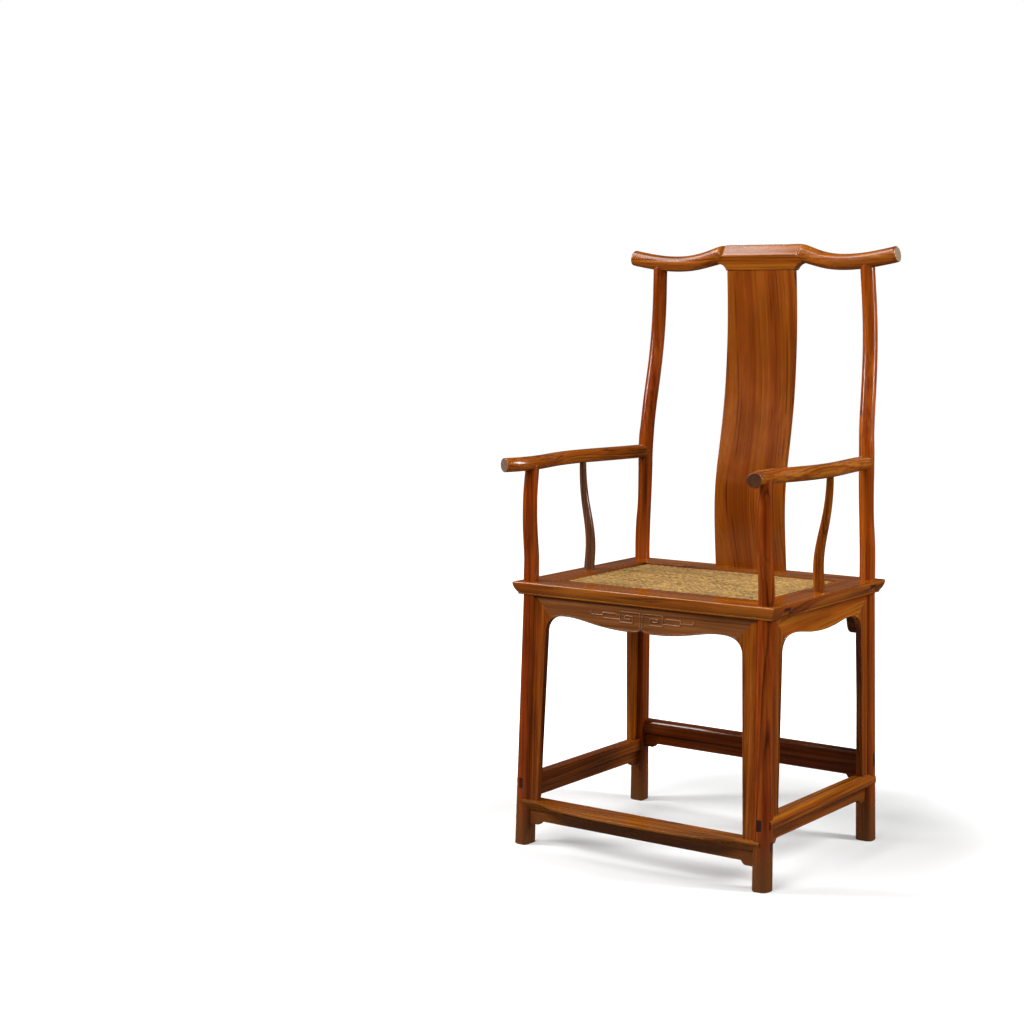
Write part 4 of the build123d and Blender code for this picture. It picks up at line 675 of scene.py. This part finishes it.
def weave_group():
    """Parallel strands along Y that pass over and under the crossing ones in a herringbone."""
    if WEAVE_GROUP in bpy.data.node_groups:
        return bpy.data.node_groups[WEAVE_GROUP]
    group = new_group(WEAVE_GROUP, "GeometryNodeTree", (
        ("Geometry", "INPUT", "NodeSocketGeometry", None),
        ("Width", "INPUT", "NodeSocketFloat", 0.4),
        ("Length", "INPUT", "NodeSocketFloat", 0.3),
        ("Pitch", "INPUT", "NodeSocketFloat", 0.004),
        ("Crossing Pitch", "INPUT", "NodeSocketFloat", 0.004),
        ("Strand Width", "INPUT", "NodeSocketFloat", 0.004),
        ("Strand Thickness", "INPUT", "NodeSocketFloat", 0.001),
        ("Lift", "INPUT", "NodeSocketFloat", 0.0004),
        ("Over", "INPUT", "NodeSocketFloat", 2.0),
        ("Turn Every", "INPUT", "NodeSocketFloat", 12.0),
        ("Start Over", "INPUT", "NodeSocketFloat", 1.0),
        ("Sides", "INPUT", "NodeSocketInt", 4),
        ("Material", "INPUT", "NodeSocketMaterial", None),
        ("Geometry", "OUTPUT", "NodeSocketGeometry", None),
    ))
    given = put(group, "NodeGroupInput").outputs
    count = maths(group, "ROUND", maths(group, "DIVIDE", given["Width"], given["Pitch"]))
    steps = maths(group, "ROUND", maths(group, "DIVIDE", given["Length"], given["Crossing Pitch"]))
    half = times(group, given["Length"], 0.5)
    start = put(group, "ShaderNodeCombineXYZ", {1: times(group, half, -1.0)}).outputs[0]
    end = put(group, "ShaderNodeCombineXYZ", {1: half}).outputs[0]
    strand = put(group, "GeometryNodeCurvePrimitiveLine", {
        "Start": start, "End": end,
    }).outputs["Curve"]
    strand = put(group, "GeometryNodeResampleCurve", {
        "Curve": strand, "Count": plus(group, steps, 1.0),
    }).outputs[0]
    first = times(group, minus(group, count, 1.0), times(group, given["Pitch"], -0.5))
    row = put(group, "GeometryNodeMeshLine", {
        "Count": count,
        "Start Location": put(group, "ShaderNodeCombineXYZ", {0: first}).outputs[0],
        "Offset": put(group, "ShaderNodeCombineXYZ", {0: given["Pitch"]}).outputs[0],
    }, mode="OFFSET").outputs[0]
    strands = put(group, "GeometryNodeInstanceOnPoints", {
        "Points": row, "Instance": strand,
    }).outputs[0]
    strands = put(group, "GeometryNodeRealizeInstances", {0: strands}).outputs[0]

    # which strand and which crossing a point belongs to, counted from one corner
    at = put(group, "ShaderNodeSeparateXYZ", {
        0: put(group, "GeometryNodeInputPosition").outputs[0],
    }).outputs
    column = maths(group, "DIVIDE", minus(group, at[0], first), given["Pitch"])
    column = maths(group, "ROUND", column)
    line = maths(group, "DIVIDE", plus(group, at[1], half), given["Crossing Pitch"])
    line = maths(group, "ROUND", line)
    folded = maths(group, "PINGPONG", column, given["Turn Every"])
    step = maths(group, "MODULO", plus(group, folded, line), times(group, given["Over"], 2.0))
    is_over = maths(group, "LESS_THAN", step, minus(group, given["Over"], 0.5))
    signed = minus(group, times(group, is_over, 2.0), 1.0)
    rise = times(group, times(group, signed, given["Start Over"]), given["Lift"])
    strands = put(group, "GeometryNodeSetPosition", {
        "Geometry": strands, "Offset": put(group, "ShaderNodeCombineXYZ", {2: rise}).outputs[0],
    }).outputs[0]
    strands = put(group, "GeometryNodeSetCurveNormal", {"Curve": strands}, mode="Z_UP").outputs[0]

    section = put(group, "GeometryNodeCurvePrimitiveCircle", {
        "Resolution": given["Sides"], "Radius": 0.5,
    }).outputs["Curve"]
    section = put(group, "GeometryNodeTransform", {
        "Geometry": section,
        "Scale": put(group, "ShaderNodeCombineXYZ", {
            0: given["Strand Thickness"], 1: given["Strand Width"], 2: 1.0,
        }).outputs[0],
    }).outputs[0]
    mesh = put(group, "GeometryNodeCurveToMesh", {
        "Curve": strands, "Profile Curve": section, "Fill Caps": True,
    }).outputs[0]
    return closed_tree(group, mesh, given["Material"])


STRAND_TONE_LENGTH = 0.16      # over which a strand of cane changes its colour
RIB_SCALES = (1400.0, 30.0)    # of the fine ribs, across and along a strand
FLECK_SCALE = 150.0
FLECK_SHARE = 0.45
STRAW_LIMITS = (0.38, 0.60)    # between which dark straw turns into pale
SEAT_WEAR_SCALE = 9.0
SEAT_WEAR_SHADES = (0.86, 1.08)


def straw_material(name, lengthwise, seat):
    """Split cane: fine ribs along the strand, and strands of slightly different colour."""
    material, tree, shader = new_material(name)
    place = put(tree, "ShaderNodeTexCoord").outputs["Object"]
    across, along = RIB_SCALES
    strands, tone = 1.0 / seat.strand_pitch, 1.0 / STRAND_TONE_LENGTH
    rib_scale = (across, along, along) if lengthwise else (along, across, along)
    strand_scale = (strands, tone, 1.0) if lengthwise else (tone, strands, 1.0)
    ribs = speckle(tree, vectors(tree, "MULTIPLY", place, rib_scale), 1.0, 1.0)
    each = speckle(tree, vectors(tree, "MULTIPLY", place, strand_scale), 1.0, 2.0, 0.7)
    flecks = speckle(tree, place, FLECK_SCALE, 3.0, 0.7)
    worn = speckle(tree, place, SEAT_WEAR_SCALE, 3.0, 0.55)
    worn = fade(tree, worn, 0.3, 0.7, *SEAT_WEAR_SHADES)
    share = plus(tree, times(tree, each, 1.0 - FLECK_SHARE), times(tree, flecks, FLECK_SHARE))
    share = fade(tree, share, *STRAW_LIMITS)
    colour = mix_colour(tree, share, tuple(seat.straw_dark), tuple(seat.straw_pale))
    shade = times(tree, plus(tree, times(tree, ribs, 0.35), 0.80), worn)
    rough = plus(tree, times(tree, flecks, 0.2), 0.36)
    bump = put(tree, "ShaderNodeBump", {"Height": ribs, "Strength": 0.35, "Distance": 0.0003})
    connect(tree, shader, scaled(tree, colour, shade), rough, bump)
    return material


FIBRE_DARK = (0.045, 0.024, 0.010, 1.0)
FIBRE_PALE = (0.200, 0.115, 0.050, 1.0)
TWIST_SCALE = 160.0
HAIR_SCALE = 900.0


def fibre_material(name):
    """Dark twisted palm fibre."""
    material, tree, shader = new_material(name)
    place = put(tree, "ShaderNodeTexCoord").outputs["Object"]
    twist = put(tree, "ShaderNodeTexWave", {
        "Vector": place, "Scale": TWIST_SCALE, "Distortion": 3.0, "Detail": 2.0,
    }, bands_direction="DIAGONAL").outputs[1]
    hair = speckle(tree, place, HAIR_SCALE, 2.0)
    share = plus(tree, times(tree, twist, 0.6), times(tree, hair, 0.4))
    colour = mix_colour(tree, share, FIBRE_DARK, FIBRE_PALE)
    rough = plus(tree, times(tree, hair, 0.2), 0.65)
    bump = put(tree, "ShaderNodeBump", {"Height": share, "Strength": 0.6, "Distance": 0.0005})
    connect(tree, shader, colour, rough, bump)
    return material


def settle(piece, middle, turn):
    """Turns a flat piece about the vertical and puts its middle in place, in its mesh."""
    piece.data.transform(Euler((0.0, 0.0, turn)).to_matrix().to_4x4())
    for vertex in piece.data.vertices:
        vertex.co += middle


def woven(names, low, high, pitch, strand):
    """Two crossing sets of strands that fill a flat box, lengthwise and crosswise.

    strand gives a set's other inputs from its name, whether it runs lengthwise and its pitch.
    """
    size = high - low
    pitch_x = size.x / round(size.x / pitch)
    pitch_y = size.y / round(size.y / pitch)
    pieces = []
    for name, width, length, own, crossing, lengthwise in (
        (names[0], size.x, size.y, pitch_x, pitch_y, True),
        (names[1], size.y, size.x, pitch_y, pitch_x, False),
    ):
        piece = grow(name, weave_group(), {
            "Width": width, "Length": length - crossing, "Pitch": own, "Crossing Pitch": crossing,
            "Start Over": 1.0 if lengthwise else -1.0, **strand(name, lengthwise, own),
        })
        settle(piece, (low + high) / 2, 0.0 if lengthwise else pi / 2)
        pieces.append(piece)
    return pieces


# ---------------------------------------------------------------- operators
class CHAIR_OT_legs(bpy.types.Operator):
    """Finishes the four legs with the posts above them, and the side posts"""

    bl_idname = "armchair.legs"
    bl_label = "Legs and Posts"

    def execute(self, context):
        for side, flip in SIDES:
            finish([f"front_leg_{side}"], "Z", (0.050, 0.060 * flip), start=0.3 * flip,
                   spacing=1.1, contrast=1.25, light=0.95, tones=LEG_TONES)
            # the right rear leg is painted lighter than the left: painted light on the lit side
            finish([f"rear_leg_{side}"], "Z", (-0.070, 0.045 * flip), start=1.1 + flip,
                   spacing=1.2, contrast=1.1, light=1.10 + 0.12 * flip, tones=LEG_TONES)
            finish([f"side_post_{side}"], "Z", (0.040, 0.050 * flip), start=2.0 + flip,
                   tones=GREY_POST_TONES if side == "left" else None)
        return {"FINISHED"}


class CHAIR_OT_crest(bpy.types.Operator):
    """Finishes the crest rail, the armrests and the back splat"""

    bl_idname = "armchair.crest"
    bl_label = "Crest Rail, Armrests and Splat"

    def execute(self, context):
        crest = softened("crest_rail", "crest_rail_carved", SKIN_STEP, SKIN_ROUNDS)
        crest.data.materials.clear()
        crest.data.materials.append(wood_material(
            "wood_crest_rail", ["crest_rail"], "X", (0.060, -0.090), start=0.4, light=1.20,
            end=CREST_END, carved=True,
        ))
        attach(crest, BODY)
        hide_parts("crest_rail")
        for side, flip in SIDES:
            finish([f"armrest_{side}"], "Y", (0.040 * flip, 0.060), start=0.8 * flip,
                   light=1.25, end=ARM_ENDS[side])
        finish(["back_splat"], "Z", (0.012, 0.085), start=0.2, taper=0.06, wander=0.014,
               band=1.8, spacing=1.15, contrast=1.35, streaks=0.35, light=0.82)
        return {"FINISHED"}


class CHAIR_OT_seat_frame(bpy.types.Operator):
    """Finishes the seat rails, the braces, the edge strips and their pins"""

    bl_idname = "armchair.seat_frame"
    bl_label = "Seat Frame"

    def execute(self, context):
        for number, name in enumerate(("front", "rear")):
            finish([f"seat_rail_{name}"], "X", (0.080, 0.050), start=1.3 * number,
                   streaks=0.6, light=1.25)
            finish([f"edge_strip_{name}"], "X", (0.050, 0.050), start=2.3 * number)
        for side, flip in SIDES:
            finish([f"seat_rail_{side}"], "Y", (0.060 * flip, 0.050), start=0.7 * flip,
                   streaks=0.6, light=1.05)
            finish([f"edge_strip_{side}"], "Y", (0.050, 0.050), start=1.7 * flip)
            finish([f"seat_brace_{side}"], "Y", (0.050, 0.050), start=2.7 * flip, light=0.8)
        finish(["strip_pins"], "Z", (0.050, 0.050), light=0.5)
        return {"FINISHED"}


class CHAIR_OT_aprons(bpy.types.Operator):
    """Finishes the boards under the seat frame"""

    bl_idname = "armchair.aprons"
    bl_label = "Aprons"

    def execute(self, context):
        finish(["front_apron_top"], "X", (0.030, 0.120), start=0.1, streaks=0.7,
               tones=APRON_TONES)
        for side, flip in SIDES:
            finish([f"front_apron_{side}"], "Z", (0.030, 0.120 * flip), start=0.9 * flip,
                   light=0.92 + 0.13 * flip)
            finish([f"side_apron_{side}_top"], "Y", (0.045 * flip, 0.030), start=0.5 * flip,
                   taper=0.04, streaks=0.5, contrast=0.7, light=1.30)
            for number, place in enumerate(("front", "rear")):
                finish([f"side_apron_{side}_{place}"], "Z", (0.110, 0.040 * flip),
                       start=1.5 * flip + number)
        finish(["back_apron"], "X", (0.030, 0.090), start=0.5, light=0.7)
        return {"FINISHED"}


def apron_face(height):
    """Where the front apron's face is at a height: it leans back with the legs."""
    return APRON_FOOT + APRON_LEAN * height


class CHAIR_OT_scroll(bpy.types.Operator):
    """Carves the squared scroll on the front apron"""

    bl_idname = "armchair.scroll"
    bl_label = "Carved Scroll"

    def execute(self, context):
        carving = context.scene.armchair_carving
        points, edges = [], []
        for flip in (-1, 1):
            for path in SCROLL_PATHS:
                first = len(points)
                for across, height in path:
                    place = height * MM
                    points.append((flip * across * MM, apron_face(place) + carving.sunk, place))
                edges += [(first + step, first + step + 1) for step in range(len(path) - 1)]
        mesh = bpy.data.meshes.new("scroll_paths")
        mesh.from_pydata(points, edges, [])
        scroll = grow("apron_scroll", carved_group(), {
            "Line Radius": carving.line_radius, "Corner Radius": carving.corner_radius,
            # the lines take paler tones than the board: a painted highlight on them
            "Material": wood_material(
                "wood_apron_scroll", ["front_apron_top"], "X", (0.030, 0.120), start=0.1,
                tones=SCROLL_HIGHLIGHT_TONES,
            ),
        }, mesh)
        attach(scroll, BODY)
        return {"FINISHED"}


class CHAIR_OT_stretchers(bpy.types.Operator):
    """Finishes the footrest, the stretchers and the boards under them"""

    bl_idname = "armchair.stretchers"
    bl_label = "Footrest and Stretchers"

    def execute(self, context):
        finish(["footrest"], "X", (0.030, 0.080), start=0.6, light=1.25)
        finish(["footrest_apron"], "X", (0.090, 0.060), start=1.6, light=1.15)
        # the back stretcher and its board are darkened: painted shade under the seat
        finish(["back_stretcher", "back_stretcher_apron"], "X", (0.070, 0.060), start=2.6,
               light=0.55)
        for side, flip in SIDES:
            # the right stretcher is painted lighter and the left one darker: painted light and
            # shade by the side they stand on
            finish([f"side_stretcher_{side}"], "Y", (0.060 * flip, 0.060), start=1.2 * flip,
                   light=1.12 + 0.18 * flip)
            finish([f"side_stretcher_apron_{side}"], "Y", (0.080 * flip, 0.060),
                   start=2.2 * flip, light=0.95)
        return {"FINISHED"}


STRAND_FILL = 0.98      # a strand's width, as a share of its pitch
NEVER = 1000.0          # more strands than there are: the weave doesn't turn into a herringbone
CORD_SIDES = 8


class CHAIR_OT_cane_mat(bpy.types.Operator):
    """Weaves the cane mat of the seat in two sets of strands"""

    bl_idname = "armchair.cane_mat"
    bl_label = "Cane Mat"

    def execute(self, context):
        seat = context.scene.armchair_seat
        low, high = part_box("cane_mat")
        size = high - low

        def strand(name, lengthwise, pitch):
            return {
                "Strand Width": pitch * STRAND_FILL,
                "Strand Thickness": seat.strand_thickness,
                "Lift": (size.z - seat.strand_thickness) / 2,
                "Material": straw_material(f"straw_{name}", lengthwise, seat),
            }

        names = ("cane_mat_lengthwise", "cane_mat_crosswise")
        pieces = woven(names, low, high, seat.strand_pitch, strand)
        for piece in pieces:
            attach(piece, BODY)
        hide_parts("cane_mat")
        return {"FINISHED"}


class CHAIR_OT_palm_cords(bpy.types.Operator):
    """Strings the palm cords that carry the mat"""

    bl_idname = "armchair.palm_cords"
    bl_label = "Palm Cords"

    def execute(self, context):
        seat = context.scene.armchair_seat
        low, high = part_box("palm_webbing")
        thickness = (high - low).z / 2
        fibre = fibre_material("palm_fibre")
        cord = {
            "Strand Width": seat.cord_width, "Strand Thickness": thickness,
            "Lift": thickness / 2, "Over": 1.0, "Turn Every": NEVER, "Sides": CORD_SIDES,
            "Material": fibre,
        }
        names = ("palm_cords_lengthwise", "palm_cords_crosswise")
        pieces = woven(names, low, high, seat.cord_pitch, lambda *_: cord)
        for piece in pieces:
            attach(piece, BODY)
        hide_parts("palm_webbing")
        return {"FINISHED"}


# name, degrees round the chair, distance, height, (width, height), share of the key power
LAMPS = (
    ("left_softbox", -57.0, 2.3, 2.00, (0.45, 1.60), 1.05),
    ("front_softbox", -4.0, 2.6, 2.70, (1.60, 1.00), 1.65),
    ("right_softbox", 108.0, 2.4, 1.95, (0.50, 1.60), 1.60),
    ("top_softbox", -70.0, 1.5, 3.00, (1.30, 1.10), 0.60),
)
LAMP_AIM = Vector((0.0, 0.0, 0.6))
SENSOR_WIDTH = 36.0
ROOM_TINT = (1.0, 0.985, 0.96, 1.0)
WHITE = (1.0, 1.0, 1.0, 1.0)
ROOM_GLOSS = (0.01, 0.06)       # the room in reflections, behind the camera and ahead of it
FLOOR_TONES = ((0.80, 0.80, 0.80, 1.0), (0.83, 0.83, 0.83, 1.0))
FLOOR_FADE = (0.45, 1.0)        # the floor turns to plain white between these distances
FLOOR_BOUNCE = 0.40             # share of the floor's light that reaches the chair
FLOOR_GLOSS = 0.03              # and that shows in the wood's polish
FLOOR_GLOSS_GLOW = 0.02


def around(azimuth, distance, height):
    """A place round the chair: azimuth 0 is in front of it and 90 on its right, in degrees."""
    turn = radians(azimuth)
    return Vector((distance * sin(turn), -distance * cos(turn), height))


def studio_lamp(name, place, size, power):
    """A soft rectangular lamp that points at the chair."""
    light = bpy.data.lights.new(name, "AREA")
    light.shape = "RECTANGLE"
    light.size, light.size_y = size
    light.energy = power
    lamp = bpy.data.objects.new(name, light)
    lamp.location = place
    lamp.rotation_euler = (place - LAMP_AIM).to_track_quat("Z", "Y").to_euler()
    bpy.context.scene.collection.objects.link(lamp)


def seen_directly(tree, rays):
    """1 for rays from the camera, also through glass, and 0 for the rest."""
    return maths(tree, "MAXIMUM", rays["Is Camera Ray"], rays["Is Transmission Ray"])


class CHAIR_OT_studio(bpy.types.Operator):
    """Sets up the camera, the lamps, the white room and the floor"""

    bl_idname = "armchair.studio"
    bl_label = "Studio"

    def execute(self, context):
        scene = context.scene
        studio = scene.armchair_studio
        camera_data = bpy.data.cameras.new("studio_camera")
        camera_data.lens = studio.lens
        camera_data.sensor_width = SENSOR_WIDTH
        camera = bpy.data.objects.new("studio_camera", camera_data)
        camera.location = studio.camera_place
        camera.rotation_euler = studio.camera_turn
        scene.collection.objects.link(camera)
        scene.camera = camera
        scene.view_settings.view_transform = "Standard"
        for name, azimuth, distance, height, size, share in LAMPS:
            studio_lamp(name, around(azimuth, distance, height), size, studio.lamp_power * share)
        self.make_room(scene, studio)
        self.make_floor(scene, studio)
        return {"FINISHED"}

    def make_room(self, scene, studio):
        """A room that is white where it is seen, and dimmer as a source of light."""
        world = bpy.data.worlds.new("studio_room")
        world.use_nodes = True
        scene.world = world
        tree = world.node_tree
        tree.nodes.clear()
        rays = put(tree, "ShaderNodeLightPath").outputs
        camera_looks = Euler(studio.camera_turn).to_matrix() @ Vector((0.0, 0.0, -1.0))
        direction = put(tree, "ShaderNodeTexCoord").outputs["Generated"]
        ahead = vectors(tree, "DOT_PRODUCT", direction, camera_looks)
        gloss = times(tree, rays["Is Glossy Ray"], fade(tree, ahead, 0.2, 0.9, *ROOM_GLOSS))
        shown, soft, dim = [
            put(tree, "ShaderNodeBackground", {"Color": colour, "Strength": strength}).outputs[0]
            for colour, strength in ((WHITE, 1.0), (ROOM_TINT, studio.room_light), (WHITE, gloss))
        ]
        lit = put(tree, "ShaderNodeMixShader", {0: rays["Is Glossy Ray"], 1: soft, 2: dim})
        both = put(tree, "ShaderNodeMixShader", {
            0: seen_directly(tree, rays), 1: lit.outputs[0], 2: shown,
        })
        put(tree, "ShaderNodeOutputWorld", {"Surface": both.outputs[0]})

    def make_floor(self, scene, studio):
        """A pale floor that keeps the chair's shadow and runs out into the white room."""
        half = studio.floor_size / 2
        mesh = bpy.data.meshes.new("studio_floor")
        corners = [(x * half, y * half, 0.0) for x, y in ((-1, -1), (1, -1), (1, 1), (-1, 1))]
        mesh.from_pydata(corners, [], [(0, 1, 2, 3)])
        floor = bpy.data.objects.new("studio_floor", mesh)
        scene.collection.objects.link(floor)
        material = bpy.data.materials.new("studio_floor")
        material.use_nodes = True
        tree = material.node_tree
        tree.nodes.clear()
        place = put(tree, "ShaderNodeTexCoord").outputs["Object"]
        rays = put(tree, "ShaderNodeLightPath").outputs
        seen = seen_directly(tree, rays)
        away = vectors(tree, "LENGTH", place)
        share = fade(tree, away, *FLOOR_FADE, studio.floor_glow, 1.0)
        gloss_glow = times(tree, rays["Is Glossy Ray"], FLOOR_GLOSS_GLOW)
        glow = plus(tree, times(tree, seen, share), gloss_glow)
        kept = plus(tree, times(tree, seen, 1.0 - FLOOR_BOUNCE), FLOOR_BOUNCE)
        gloss_loss = times(tree, rays["Is Glossy Ray"], FLOOR_BOUNCE - FLOOR_GLOSS)
        tone = mix_colour(tree, speckle(tree, place, 3.0, 2.0), *FLOOR_TONES)
        tone = scaled(tree, tone, minus(tree, kept, gloss_loss))
        white = put(tree, "ShaderNodeEmission", {"Color": WHITE, "Strength": glow})
        plain = put(tree, "ShaderNodeBsdfDiffuse", {"Color": tone})
        both = put(tree, "ShaderNodeAddShader", {0: plain.outputs[0], 1: white.outputs[0]})
        put(tree, "ShaderNodeOutputMaterial", {"Surface": both.outputs[0]})
        mesh.materials.append(material)


OPERATORS = (
    CHAIR_OT_studio,
    CHAIR_OT_legs,
    CHAIR_OT_crest,
    CHAIR_OT_seat_frame,
    CHAIR_OT_aprons,
    CHAIR_OT_scroll,
    CHAIR_OT_stretchers,
    CHAIR_OT_cane_mat,
    CHAIR_OT_palm_cords,
)


class CHAIR_PT_panel(bpy.types.Panel):
    """Lists the steps that dress the chair"""

    bl_idname = "CHAIR_PT_panel"
    bl_label = "Official's Hat Armchair"
    bl_space_type = "VIEW_3D"
    bl_region_type = "UI"
    bl_category = "Armchair"

    def draw(self, context):
        for settings in ("armchair_wood", "armchair_seat", "armchair_carving", "armchair_studio"):
            box = self.layout.box()
            group = getattr(context.scene, settings)
            for name in group.__annotations__:
                box.prop(group, name)
        for operator in OPERATORS:
            self.layout.operator(operator.bl_idname)


SETTINGS = (
    ("armchair_wood", WoodSettings),
    ("armchair_seat", SeatSettings),
    ("armchair_carving", CarvingSettings),
    ("armchair_studio", StudioSettings),
)


def register():
    """Registers the settings, the operators and the panel."""
    for name, settings in SETTINGS:
        bpy.utils.register_class(settings)
        setattr(bpy.types.Scene, name, PointerProperty(type=settings))
    for operator in OPERATORS:
        bpy.utils.register_class(operator)
    bpy.utils.register_class(CHAIR_PT_panel)


def unregister():
    """Takes them all away again."""
    bpy.utils.unregister_class(CHAIR_PT_panel)
    for operator in reversed(OPERATORS):
        bpy.utils.unregister_class(operator)
    for name, settings in reversed(SETTINGS):
        delattr(bpy.types.Scene, name)
        bpy.utils.unregister_class(settings)


def main():
    """Registers the add-on and runs every step in order."""
    register()
    for operator in OPERATORS:
        group, name = operator.bl_idname.split(".")
        getattr(getattr(bpy.ops, group), name)()


if __name__ == "__main__":
    main()
